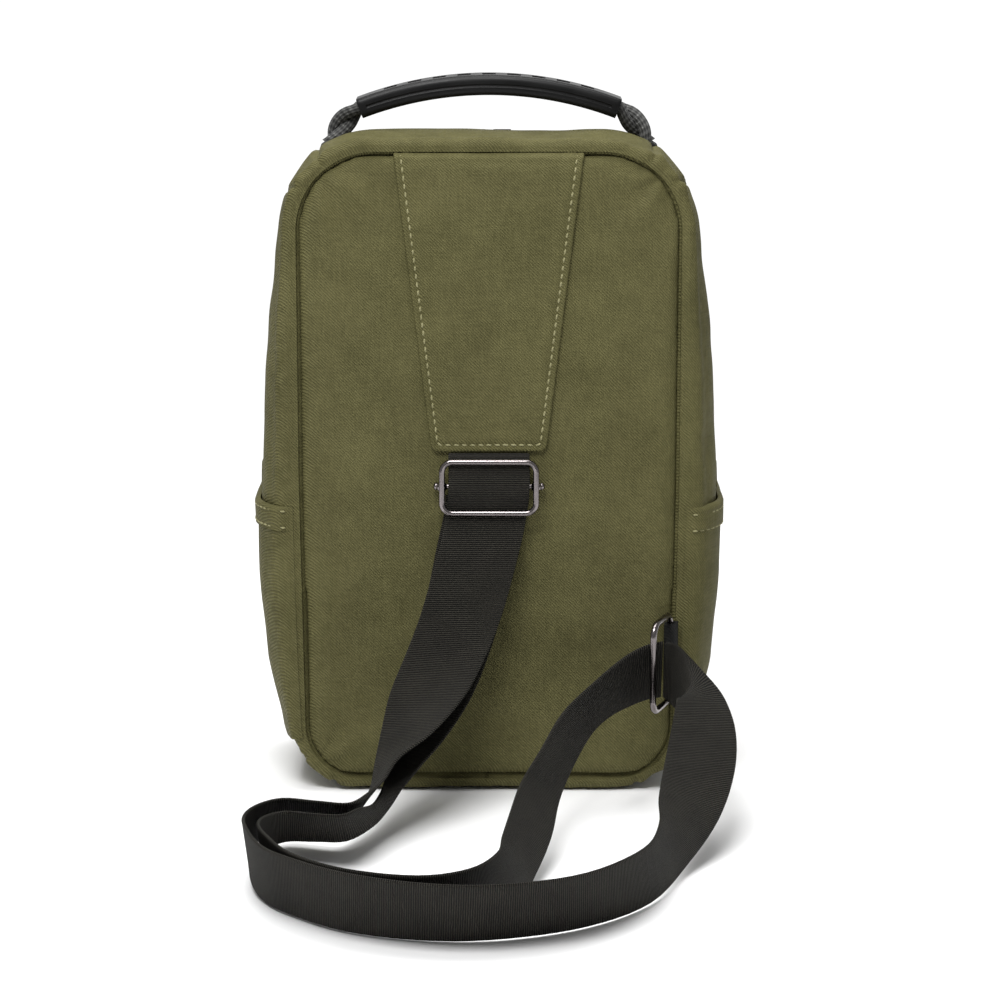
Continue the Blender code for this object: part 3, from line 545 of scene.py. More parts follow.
# ------------------------------------------------------------------ body surface
def swell_at(z):
    """How far the gusset bulges out of the panel's outline at a height."""
    if z <= SWELL[0][0]:
        return SWELL[0][1]
    for (x0, v0), (x1, v1) in zip(SWELL, SWELL[1:]):
        if z <= x1:
            t = (z - x0) / (x1 - x0)
            t = t * t * (3 - 2 * t) * 0.35 + t * 0.65
            return v0 + (v1 - v0) * t
    return SWELL[-1][1]


def taper(x, z):
    """The panel narrows slightly towards the bottom."""
    return x - math.copysign(0.0022 * max(0.0, 1 - z / 0.15), x)


def outline_at(part, t):
    """A point of one stretch of the panel's outline, and the way it faces."""
    w, lo, hi = PANEL_HALF_W, PANEL_LOW, PANEL_HIGH
    if part.endswith("left"):
        (x, z), (nx, nz) = outline_at(part[:-4] + "right", 1 - t)
        return (-x, z), (-nx, nz)
    if part == "bottom":
        return ((2 * t - 1) * (w - CORNER_LOW), lo), (0, -1)
    if part == "top":
        return ((1 - 2 * t) * (w - CORNER_TOP), hi), (0, 1)
    if part == "side_low_right":
        return (w, lo + CORNER_LOW + t * (SPLIT_Z - lo - CORNER_LOW)), (1, 0)
    if part == "side_high_right":
        return (w, SPLIT_Z + t * (hi - CORNER_TOP - SPLIT_Z)), (1, 0)
    low = part == "corner_low_right"
    radius = CORNER_LOW if low else CORNER_TOP
    angle = math.radians(-90 + 90 * t if low else 90 * t)
    mid_z = lo + radius if low else hi - radius
    way = (math.cos(angle), math.sin(angle))
    return (w - radius + radius * way[0], mid_z + radius * way[1]), way


def fallen(y, z):
    """The height of a point once the top has fallen towards the front."""
    share = max(0.0, min(1.0, (z - FALL_FROM_Z) / (PANEL_HIGH - FALL_FROM_Z)))
    return z - FALL * max(0.0, y - FALL_FROM_Y) * share * share * (3 - 2 * share)


def skin(p, n, y, rise=0.0):
    """A point of the bag's side surface, raised by the given height, and its facing."""
    swell = swell_at(p[1])
    roll = max(0.0, min(1.0, (abs(y) - FLAT_HALF) / (SEAM_Y - FLAT_HALF)))
    phi = math.asin(roll)
    face = Vector((math.cos(phi) * (SEAM_Y - FLAT_HALF), swell * math.sin(phi))).normalized()
    out = swell * math.cos(phi) + rise * face.x
    depth = y + rise * face.y * math.copysign(1.0, y)
    return Vector((taper(p[0], p[1]) + n[0] * out, depth, fallen(depth, p[1] + n[1] * out)))


def depth_rows(y0, y1, rows):
    """Depths from y0 to y1, closer together towards the seams."""
    a0 = math.asin(max(-1.0, y0 / SEAM_Y))
    a1 = math.asin(min(1.0, y1 / SEAM_Y))
    return [SEAM_Y * math.sin(a0 + (a1 - a0) * i / rows) for i in range(rows + 1)]


STRETCH_STEPS = {"bottom": 56, "top": 60, "corner_low": 34, "side_low": 60,
                 "side_high": 66, "corner_top": 44}


def outline_run(parts):
    """Stations over several stretches of the outline, and the distance to each."""
    line = []
    for part in parts:
        steps = STRETCH_STEPS[part.replace("_left", "").replace("_right", "")]
        line += [outline_at(part, i / steps) for i in range(steps)]
    line.append(outline_at(parts[-1], 1.0))
    return line, lengths([(p[0], 0, p[1]) for p, _ in line])


def nearest_run(line, run, spot):
    """The distance along the outline of the station nearest to an (x, z) spot."""
    best = min(range(len(line)), key=lambda i: math.dist(line[i][0], spot))
    return run[best]


def corner_share(p):
    """1 in the middle of a rounded corner of the outline, 0 on the straight stretches."""
    x, z = abs(p[0]), p[1]
    top = max(0.0, z - (PANEL_HIGH - CORNER_TOP)) / CORNER_TOP
    low = max(0.0, PANEL_LOW + CORNER_LOW - z) / CORNER_LOW
    side_top = max(0.0, x - (PANEL_HALF_W - CORNER_TOP)) / CORNER_TOP
    side_low = max(0.0, x - (PANEL_HALF_W - CORNER_LOW)) / CORNER_LOW
    return min(1.0, 2.2 * top * side_top + 2.2 * low * side_low)


def cloth_rise(rest, p, y, seams):
    """Wrinkles of the gusset's cloth, the roll beside the panel and the sewn seams."""
    seam = SEAM_Y - abs(y)
    rise = 0.0006 * ripple(rest, 22.0, 3.0) + 0.0003 * ripple(rest, 70.0, 9.0)
    rise += 0.0021 * bell(seam - 0.0028, 0.0026)
    rise += 0.0022 * corner_share(p) * bell(seam - 0.006, 0.011) * ripple(rest, 85.0, 5.0)
    rise += 0.0009 * bell(seam - 0.010, 0.014) * ripple(rest, 48.0, 31.0)
    rise += 0.0004 * bell(seam - 0.004, 0.006) * ripple(rest, 160.0, 12.0)
    for away, lap, slant in seams:
        gap = away + slant * (y + SEAM_Y)
        rise -= 0.0014 * bell(gap, 0.0011)
        if 0 < gap * lap:
            rise += 0.0007 * bell(gap, 0.0060)
        else:
            rise += 0.0003 * bell(abs(gap) - 0.003, 0.0025)
    return rise


def gusset(name, parts, y0, y1, body, nodes, rows, seams=()):
    """One strip of the gusset, with its edges turned in behind the panels.

    Each seam is (x, z) of its place, the side that laps over, and its slant.
    """
    depths = depth_rows(y0, y1, rows)
    line, run = outline_run(parts)
    places = [(nearest_run(line, run, spot), lap, slant) for spot, lap, slant in seams]
    outer, inner = [], []
    for i, (p, n) in enumerate(line):
        near = [(run[i] - place, lap, slant) for place, lap, slant in places
                if abs(run[i] - place) < 0.03]
        row_out, row_in = [], []
        if y0 <= -SEAM_Y:
            turned_in(row_out, row_in, p, n, -1)
        for y in depths:
            rise = cloth_rise(skin(p, n, y), p, y, near)
            rise *= min(1.0, (SEAM_Y - abs(y)) / 0.0007)
            row_out.append(skin(p, n, y, rise))
            row_in.append(skin(p, n, y, rise - WALL))
        if y1 >= SEAM_Y:
            turned_in(row_out, row_in, p, n, 1)
        outer.append(row_out)
        inner.append(row_in)
    verts, faces = between_grids(outer, inner)
    return outward(new_piece(name, verts, faces, OLIVE, body, nodes))


def turned_in(row_out, row_in, p, n, way):
    """The seam allowance: the cloth turns in behind the panel's edge."""
    spots = ((0.0040, 0.0390, 0.0012), (0.0012, 0.0408, 0.0010), (0.0002, 0.0428, 0.0008))
    spots = spots if way < 0 else spots[::-1]
    for inset, depth, thick in spots:
        y = way * depth
        x, z = taper(p[0] - n[0] * inset, p[1]), p[1] - n[1] * inset
        row_out.append(Vector((x, y, fallen(y, z))))
        deep = inset + thick
        x, z = taper(p[0] - n[0] * deep, p[1]), p[1] - n[1] * deep
        y -= way * thick
        row_in.append(Vector((x, y, fallen(y, z))))


UPPER = ("side_high_right", "corner_top_right", "top", "corner_top_left", "side_high_left")
LOWER = ("side_low_left", "corner_low_left", "bottom", "corner_low_right", "side_low_right")


def upper_nodes(prefix):
    return tuple(f"{prefix}_{piece}" for piece in
                 ("side_left", "corner_left", "top", "corner_right", "side_right"))


gusset("low_gusset", LOWER, -SEAM_Y, SEAM_Y, BAG,
       ("gusset_side_low_left", "gusset_corner_low_left", "gusset_bottom",
        "gusset_corner_low_right", "gusset_side_low_right"), 50,
       (((-0.084, 0.018), 1, 0.10), ((-0.073, 0.0085), -1, -0.15), ((0.070, 0.0075), 1, 0.12)))
gusset("rear_gusset", UPPER, -SEAM_Y, ZIP_REAR_Y, BAG, upper_nodes("rear_gusset"), 30,
       (((-0.0735, 0.2905), 1, 0.05), ((-0.0824, 0.2805), -1, -0.25),
        ((0.0718, 0.2918), -1, -0.05), ((0.0808, 0.2830), 1, 0.20)))
gusset("flap_gusset", UPPER, ZIP_FRONT_Y, SEAM_Y, FLAP, upper_nodes("flap_gusset"), 30,
       (((-0.0780, 0.2868), 1, 0.05), ((0.0780, 0.2868), -1, 0.05)))


# ------------------------------------------------------------------ padded panels
OUTLINE_ORDER = ("bottom", "corner_low_right", "side_low_right", "side_high_right",
                 "corner_top_right", "top", "corner_top_left", "side_high_left",
                 "side_low_left", "corner_low_left")


def panel_outline(inset, low=None, high=None):
    """The panel's edge as (x, z) points, cut off at a height where one is given."""
    out = []
    for part in OUTLINE_ORDER:
        for i in range(14):
            (x, z), (nx, nz) = outline_at(part, i / 14)
            point = (taper(x - nx * inset, z) if x else 0.0, z - nz * inset)
            if (low is None or point[1] > low) and (high is None or point[1] < high):
                out.append(point)
    edge = PANEL_HALF_W - inset
    if low is not None:
        out = sorted(out, key=lambda p: math.atan2(p[0], p[1] - low))
        out = [(-edge, low), *out, (edge, low)]
    if high is not None:
        out = sorted(out, key=lambda p: math.atan2(p[0], high - p[1]))
        out = [(-edge, high), *out, (edge, high)]
    return out


PAD_PRESSURE = 4.0
PAD_FRAMES = 20


def inflate(piece, cap):
    """Blow the pad up as cloth, with no gravity, and keep each point within the cap."""
    scene = bpy.context.scene
    rest = [v.co.copy() for v in piece.data.vertices]
    cloth = piece.modifiers.new("pad", "CLOTH")
    cloth.settings.use_pressure = True
    cloth.settings.uniform_pressure_force = PAD_PRESSURE
    cloth.settings.effector_weights.gravity = 0.0
    cloth.settings.quality = 5
    cloth.point_cache.frame_start = 1
    cloth.point_cache.frame_end = PAD_FRAMES
    for number in range(1, PAD_FRAMES + 1):
        scene.frame_set(number)
    shaped = piece.evaluated_get(bpy.context.evaluated_depsgraph_get()).data
    moved = [v.co.copy() for v in shaped.vertices]
    piece.modifiers.remove(cloth)
    scene.frame_set(1)
    for vertex, old, new in zip(piece.data.vertices, rest, moved):
        shift = new - old
        if shift.length > cap:
            shift *= cap / shift.length
        vertex.co = old + shift


FOLD_CORNERS = ((-0.080, 0.290, 0.075), (0.080, 0.290, 0.080),
                (-0.080, 0.014, 0.050), (0.080, 0.014, 0.050))
FOLD_HEIGHT = 0.0010


def corner_folds(x, z):
    """Shallow pulls in the cloth that run in from the panel's rounded corners."""
    total = 0.0
    for corner_x, corner_z, reach in FOLD_CORNERS:
        dx, dz = x - corner_x, z - corner_z
        away = math.hypot(dx, dz)
        angle = math.atan2(dz, dx)
        fade = max(0.0, 1 - away / reach) ** 1.5 * min(1.0, away / 0.012)
        total += FOLD_HEIGHT * fade * math.sin(7.0 * angle + 40.0 * away + corner_x * 30)
    return total


PAD_CELL = 0.0028


def padded_panel(name, outline, y_out, y_in, body, nodes, cap=0.0016):
    """A padded fabric panel: a thin slab, blown up, then given its soft unevenness."""
    count = len(outline)
    verts = [(x, y_out, z) for x, z in outline] + [(x, y_in, z) for x, z in outline]
    faces = [tuple(range(count)), tuple(range(2 * count - 1, count - 1, -1))]
    faces += [(i, (i + 1) % count, count + (i + 1) % count, count + i) for i in range(count)]
    piece = new_piece(name, verts, faces, OLIVE, body, nodes)
    outward(piece)
    modified(piece, "REMESH", mode="VOXEL", voxel_size=PAD_CELL)
    inflate(piece, cap)
    modified(piece, "SMOOTH", factor=0.5, iterations=3)
    modified(piece, "SUBSURF", levels=1)
    way = math.copysign(1.0, y_out)
    for vertex in piece.data.vertices:
        if vertex.co.y * way > (y_out + y_in) * way / 2:
            p = vertex.co
            soft = 0.0006 * ripple(p, 17.0, 21.0) + 0.00025 * ripple(p, 55.0, 2.0)
            soft += corner_folds(p.x, p.z)
            vertex.co.y += way * soft
        vertex.co.z = fallen(vertex.co.y, vertex.co.z)
    dressed(piece, OLIVE, body, angle=60)
    return piece


PAD_INSET = -0.0004
SPLIT_GAP = 0.0008
back_pad = padded_panel("back_pad", panel_outline(PAD_INSET), -0.0440, -0.0386, BAG,
                        ("back_panel", "back_foam"))


def surface_of(piece):
    """A finder of the piece's outer depth, looking along +Y or -Y."""
    bm = bmesh.new()
    bm.from_mesh(piece.data)
    tree = BVHTree.FromBMesh(bm)
    bm.free()

    def depth(x, z, side=-1.0):
        hit = tree.ray_cast(Vector((x, side * 0.2, z)), Vector((0, -side, 0)))
        return hit[0].y if hit[0] else side * 0.0440
    return depth


back_depth = surface_of(back_pad)


# ------------------------------------------------------------------ stitches
STITCH_ENDS = (-1.0, -0.86, -0.4, 0.4, 0.86, 1.0)
STITCH_GIRTH = (0.25, 0.75, 1.0, 1.0, 0.75, 0.25)
STITCH_SIDES = 6


def stitch_row(name, points, facings, pitch, length, radius, mat, body, slant=0.0):
    """A row of stitches along a line of points on a surface, as one piece."""
    run = lengths(points)
    verts, faces = [], []
    count = int(run[-1] / pitch)
    for k in range(count):
        middle = (k + 0.5) * run[-1] / count
        centre, along, up = sample(points, facings, run, middle)
        side = along.cross(up).normalized()
        along = (along + side * slant).normalized()
        base = len(verts)
        for e, girth in zip(STITCH_ENDS, STITCH_GIRTH):
            hub = centre + along * (e * length / 2) + up * (radius * (0.35 - 0.9 * e * e))
            for j in range(STITCH_SIDES):
                a = 2 * math.pi * j / STITCH_SIDES
                verts.append(hub + side * (radius * girth * math.cos(a))
                             + up * (radius * girth * math.sin(a)))
        faces += tube_faces(len(STITCH_ENDS), STITCH_SIDES, base)
    return outward(new_piece(name, verts, faces, mat, body, angle=70))


def sample(points, facings, run, place):
    """Position, direction and facing at a distance along a line of points."""
    for i in range(len(run) - 1):
        if place <= run[i + 1]:
            t = (place - run[i]) / (run[i + 1] - run[i])
            a, b = Vector(points[i]), Vector(points[i + 1])
            up = Vector(facings[i]).lerp(Vector(facings[i + 1]), t).normalized()
            return a.lerp(b, t), (b - a).normalized(), up
    return Vector(points[-1]), (Vector(points[-1]) - Vector(points[-2])).normalized(), \
        Vector(facings[-1])


# ------------------------------------------------------------------ yoke
YOKE_TOP_Z = PANEL_HIGH - 0.0002
YOKE_ROLL_Z = PANEL_HIGH - 0.0045
YOKE_CORNER = 0.0035
HEM_RADIUS = 0.0009
STITCH_INSET = 0.0033


def yoke_half(z):
    t = (z - YOKE_LOW) / (YOKE_TOP_Z - YOKE_LOW)
    half = YOKE_LOW_HALF + (YOKE_TOP_HALF - YOKE_LOW_HALF) * t
    up = z - YOKE_LOW
    if up < YOKE_CORNER:
        half -= YOKE_CORNER - math.sqrt(max(0.0, YOKE_CORNER ** 2 - (YOKE_CORNER - up) ** 2))
    return half


def yoke_height(x, z):
    """The yoke's thickness: a folded hem with a line of stitching pressed in."""
    edge = min(yoke_half(z) - abs(x), z - YOKE_LOW)
    rim = rounded(edge, HEM_RADIUS)
    hem = 0.0003 * (1 - max(0.0, min(1.0, (edge - 0.0075) / 0.0020)))
    dent = 0.00055 * bell(edge - STITCH_INSET, 0.0008)
    soft = 0.00025 * ripple((x, 0.0, z), 60.0, 4.0)
    return 0.0002 + (0.0016 + hem + soft) * rim - dent


def yoke_bed(x, z):
    """The panel's depth under the yoke, which turns in at the top seam."""
    over = max(0.0, z - YOKE_ROLL_Z) / (YOKE_TOP_Z - YOKE_ROLL_Z)
    return back_depth(x, min(z, YOKE_ROLL_Z)) + 0.0034 * over ** 3


def yoke_point(x, z, lift=0.0):
    return Vector((x, yoke_bed(x, z) - yoke_height(x, z) - lift, z))


def make_yoke():
    """The tapered patch over the upper back, with a folded, stitched hem."""
    edges = (0.0, 0.0002, 0.0005, HEM_RADIUS)
    levels = [YOKE_LOW + e for e in edges]
    levels += [YOKE_LOW + HEM_RADIUS + (YOKE_TOP_Z - YOKE_LOW - HEM_RADIUS) * (i / 170)
               for i in range(1, 171)]
    outer, inner = [], []
    for z in levels:
        half = yoke_half(z)
        xs = [-half + e for e in edges]
        xs += [-half + HEM_RADIUS + (2 * half - 2 * HEM_RADIUS) * i / 76 for i in range(1, 76)]
        xs += [half - e for e in reversed(edges)]
        outer.append([yoke_point(x, z) for x in xs])
        inner.append([Vector((x, yoke_bed(x, z) + 0.0006, z)) for x in xs])
    verts, faces = between_grids(outer, inner)
    outward(new_piece("yoke_patch", verts, faces, OLIVE, BAG, ("yoke",),
                      angle=55))
    low = YOKE_LOW + STITCH_INSET
    corner = 0.0022
    right = [(yoke_half(YOKE_TOP_Z - s) - STITCH_INSET, YOKE_TOP_Z - s)
             for s in [i * (YOKE_TOP_Z - low - corner) / 60 for i in range(61)]]
    turn_x = right[-1][0] - corner
    bend = [(turn_x + corner * math.cos(a), low + corner - corner * math.sin(a))
            for a in [math.radians(18 * i) for i in range(1, 6)]]
    path = right + bend
    path += [(-x, z) for x, z in reversed(path)]
    points = [yoke_point(x, z, -0.0001) for x, z in path]
    stitch_row("yoke_stitches", points, [(0, -1, 0)] * len(points), 0.0037, 0.0029, 0.00056,
               THREAD, BAG, slant=0.08)


make_yoke()


# ------------------------------------------------------------------ side pockets
def pocket_line(side, low, high, steps):
    """Stations of the low side of the bag between two heights."""
    out = []
    for part in (f"corner_low_{side}", f"side_low_{side}"):
        for i in range(steps + 1):
            (x, z), n = outline_at(part, i / steps)
            if low <= z <= high:
                out.append(((x, z), n))
    out.sort(key=lambda item: item[0][1])
    return out


def pocket_wall(name, side, low, high, rise_low, rise_high, node, hem):
    """One side pocket's cloth, or its thicker hem, over the low gusset."""
    line = pocket_line(side, low, high, 90)
    depths = [POCKET_EDGE_Y * math.sin(math.pi / 2 * (2 * i / 44 - 1)) for i in range(45)]
    outer, inner = [], []
    for p, n in line:
        z = p[1]
        row_out, row_in = [], []
        for y in depths:
            rest = skin(p, n, y)
            edge = POCKET_EDGE_Y - abs(y)
            soft = 0.0005 * ripple(rest, 26.0, 3.0) + 0.0002 * ripple(rest, 80.0, 9.0)
            rise = rise_high + soft + 0.0008 * bell(edge - 0.003, 0.003)
            if hem:
                round_top = rounded(high - z, 0.0012)
                round_low = rounded(z - low, 0.0008)
                body_ = min(round_top, round_low)
                rise = rise_low + (rise - rise_low) * body_
                for row_z in HEM_ROWS[side]:
                    rise -= 0.00035 * bell(z - row_z, 0.0006)
            close = bell(edge, 0.0010)
            rise = rise * (1 - close) + rise_low * close
            row_out.append(skin(p, n, y, rise))
            row_in.append(skin(p, n, y, rise_low - 0.0002))
        outer.append(row_out)
        inner.append(row_in)
    verts, faces = between_grids(outer, inner)
    return outward(new_piece(name, verts, faces, OLIVE, BAG, (node,), angle=60))


HEM_ROWS = {"left": (0.1338, 0.1262), "right": (0.1322, 0.1246)}
HEM_LOW = 0.1240
POCKET_BED, POCKET_RISE, HEM_RISE = 0.0009, 0.0020, 0.0032
for side in ("left", "right"):
    pocket_wall(f"pocket_{side}", side, POCKET_LOW, HEM_LOW + 0.0012, POCKET_BED, POCKET_RISE,
                f"side_pocket_{side}", False)
    pocket_wall(f"pocket_hem_{side}", side, HEM_LOW, POCKET_HIGH, POCKET_BED, HEM_RISE,
                f"side_pocket_hem_{side}", True)
    for number, row_z in enumerate(HEM_ROWS[side]):
        sign = -1 if side == "left" else 1
        depths = [POCKET_EDGE_Y * 0.985 * math.sin(math.pi / 2 * (2 * i / 60 - 1))
                  for i in range(61)]
        points = [skin((sign * PANEL_HALF_W, row_z), (sign, 0), y, 0.0029) for y in depths]
        lifted = [skin((sign * PANEL_HALF_W, row_z), (sign, 0), y, 0.0039) for y in depths]
        ups = [(b - a).normalized() for a, b in zip(points, lifted)]
        stitch_row(f"hem_stitches_{side}_{number + 1}", points, ups, 0.0036, 0.0028, 0.00046,
                   THREAD, BAG)


# ------------------------------------------------------------------ wire hardware
def only(piece):
    bpy.ops.object.select_all(action="DESELECT")
    piece.select_set(True)
    bpy.context.view_layer.objects.active = piece


def place_in_mesh(piece):
    """Put the object's place and turn into its mesh, so that it sits at the origin."""
    only(piece)
    bpy.ops.object.transform_apply(location=True, rotation=True, scale=True)
    return piece


def wire_loop(name, width, height, corner, wire, place, turn):
    """A rounded rectangle of round wire, drawn flat and stood up in its place."""
    bpy.ops.mesh.primitive_plane_add(size=1.0)
    piece = bpy.context.object
    piece.name = name
    piece.scale = (width, height, 1.0)
    place_in_mesh(piece)
    bpy.ops.object.mode_set(mode="EDIT")
    bpy.ops.mesh.select_all(action="SELECT")
    bpy.ops.mesh.bevel(affect="VERTICES", offset=corner, segments=10)
    bpy.ops.mesh.delete(type="ONLY_FACE")
    bpy.ops.object.mode_set(mode="OBJECT")
    bpy.ops.object.convert(target="CURVE")
    piece = bpy.context.object
    piece.data.bevel_depth = wire
    piece.data.bevel_resolution = 6
    bpy.ops.object.convert(target="MESH")
    piece = bpy.context.object
    piece.matrix_world = Matrix.Translation(place) @ turn
    return outward(place_in_mesh(piece))


def ball(name, radius, place, stretch=(1, 1, 1)):
    bpy.ops.mesh.primitive_uv_sphere_add(segments=24, ring_count=14, radius=radius,
                                         location=place, scale=stretch)
    piece = bpy.context.object
    piece.name = name
    return place_in_mesh(piece)


PIN_RIM = 0.0003


def rod(name, radius, start, end):
    """A straight pin with rounded ends."""
    start, end = Vector(start), Vector(end)
    bpy.ops.mesh.primitive_cylinder_add(vertices=28, radius=radius, depth=(end - start).length,
                                        location=(start + end) / 2)
    piece = bpy.context.object
    piece.name = name
    piece.rotation_euler = (end - start).to_track_quat("Z", "Y").to_euler()
    place_in_mesh(piece)
    modified(piece, "BEVEL", width=PIN_RIM, segments=3, limit_method="ANGLE")
    return piece


def join_pieces(name, pieces):
    bpy.ops.object.select_all(action="DESELECT")
    for piece in pieces:
        piece.select_set(True)
    bpy.context.view_layer.objects.active = pieces[0]
    bpy.ops.object.join()
    pieces[0].name = name
    return pieces[0]


UPRIGHT = Matrix.Rotation(math.radians(90), 4, "X")


def make_adjuster():
    frame_loop = wire_loop("adjuster_wire", 2 * ADJUSTER_HALF_W, 2 * ADJUSTER_HALF_H, 0.0048,
                           ADJUSTER_WIRE, (0, ADJUSTER_Y, ADJUSTER_Z), UPRIGHT)
    dressed(frame_loop, GUNMETAL, ADJUSTER, ("adjuster_frame",), 50)
    parts = [rod("adjuster_pin", 0.0012, (-BAR_HALF + 0.0006, BAR_Y, ADJUSTER_Z),
                 (BAR_HALF - 0.0006, BAR_Y, ADJUSTER_Z))]
    for sign in (-1, 1):
        x = sign * (ADJUSTER_HALF_W + 0.0001)
        parts.append(ball("pin_collar", 0.0026, (x, BAR_Y - 0.0013, ADJUSTER_Z),
                          (0.95, 0.8, 1.0)))
        parts.append(ball("pin_head", 0.0018, (sign * (BAR_HALF - 0.0006), BAR_Y, ADJUSTER_Z),
                          (0.75, 1.0, 1.0)))
    pin = join_pieces("adjuster_pin", parts)
    dressed(pin, GUNMETAL, ADJUSTER, ("adjuster_bar",), 50)


make_adjuster()


def make_ring():
    px, py = RING_PIVOT
    ox, oy = RING_OUTER
    reach = math.hypot(ox - px, oy - py)
    angle = math.atan2(oy - py, ox - px)
    centre = ((px + ox) / 2, (py + oy) / 2, RING_Z)
    turn = Matrix.Rotation(angle, 4, "Z") @ UPRIGHT
    ring = wire_loop("strap_loop_ring", reach, 2 * RING_HALF_H, 0.0058, RING_WIRE, centre, turn)
    dressed(ring, GUNMETAL, RING, ("strap_ring",), 50)


make_ring()


# ------------------------------------------------------------------ carry handle
def handle_foot(sign):
    """Where the ropes meet the top corner, and the way they leave it."""
    a = math.radians(ANCHOR_ANGLE)
    mid_x, mid_z = PANEL_HALF_W - CORNER_TOP, PANEL_HIGH - CORNER_TOP
    p = (mid_x + CORNER_TOP * math.cos(a), mid_z + CORNER_TOP * math.sin(a))
    foot = skin(p, (math.cos(a), math.sin(a)), HANDLE_Y)
    return Vector((sign * foot.x, HANDLE_Y, foot.z)), Vector((sign * math.cos(a), 0,
                                                              math.sin(a)))


def handle_path():
    """The middle line of the two ropes, from the left foot to the right one."""
    foot, away = handle_foot(-1)
    start = foot + away * 0.0002
    arc_centre = GRIP_MID_Z - GRIP_RADIUS
    angle = math.asin(GRIP_HALF / GRIP_RADIUS)
    grip = [Vector((GRIP_RADIUS * math.sin(-angle + 2 * angle * i / 40), HANDLE_Y,
                    arc_centre + GRIP_RADIUS * math.cos(-angle + 2 * angle * i / 40)))
            for i in range(41)]
    lean = grip[0] - start
    tail = spline([start, start + lean * 0.28 + away * 0.0012, start + lean * 0.66
                   + away * 0.0010, grip[0]], 11)
    right = [Vector((-p.x, p.y, p.z)) for p in reversed(tail)]
    return tail[:-1] + grip + right[1:], len(tail) - 1


def make_ropes():
    path, twisting = handle_path()
    run = lengths(path)
    last = len(path) - 1
    sides = 22
    for name, node, phase in (("handle_rope_front", "rope_front", 0.0),
                              ("handle_rope_rear", "rope_rear", math.pi)):
        rings, uv = [], []
        for i, p in enumerate(path):
            t = min(1.0, min(i, last - i) / twisting)
            a = phase + math.pi * 1.15 * (1 - t) * (1 if i < last / 2 else -1)
            along = (path[min(i + 1, last)] - path[max(i - 1, 0)]).normalized()
            side = Vector((0, 1, 0)).cross(along).normalized()
            high = along.cross(side).normalized()
            centre = p + side * (0.78 * ROPE_OFFSET * math.sin(a))
            centre += high * (ROPE_OFFSET * math.cos(a))
            ring = []
            for j in range(sides + 1):
                b = 2 * math.pi * j / sides
                ring.append(centre + side * (ROPE_R * math.cos(b))
                            + high * (ROPE_R * math.sin(b)))
                uv.append((j / sides, run[i]))
            rings.append(ring)
        cols = sides + 1
        verts = [p for ring in rings for p in ring]
        faces = []
        for i in range(last):
            faces += [(i * cols + j, i * cols + j + 1, (i + 1) * cols + j + 1, (i + 1) * cols + j)
                      for j in range(sides)]
        faces.append(tuple(reversed(range(sides))))
        faces.append(tuple(last * cols + j for j in range(sides)))
        piece = new_piece(name, verts, faces, BRAID, HANDLE, (node,), uv, 70)
        bm = bmesh.new()
        bm.from_mesh(piece.data)
        bmesh.ops.remove_doubles(bm, verts=bm.verts, dist=1e-6)
        bmesh.ops.recalc_face_normals(bm, faces=bm.faces)
        bm.to_mesh(piece.data)
        bm.free()


make_ropes()


SLOT_PITCH = 0.0112
SLOT_HALF = 0.0032
SLOT_REACH_Y = 0.0046
SLOTS_END = 0.052
SLOT_DEPTH = 0.0011
GROOVE_END = 0.0575
GROOVE_HALF = 0.0008
GRIP_CUTS = 76
GRIP_CHAMFER = 0.0031


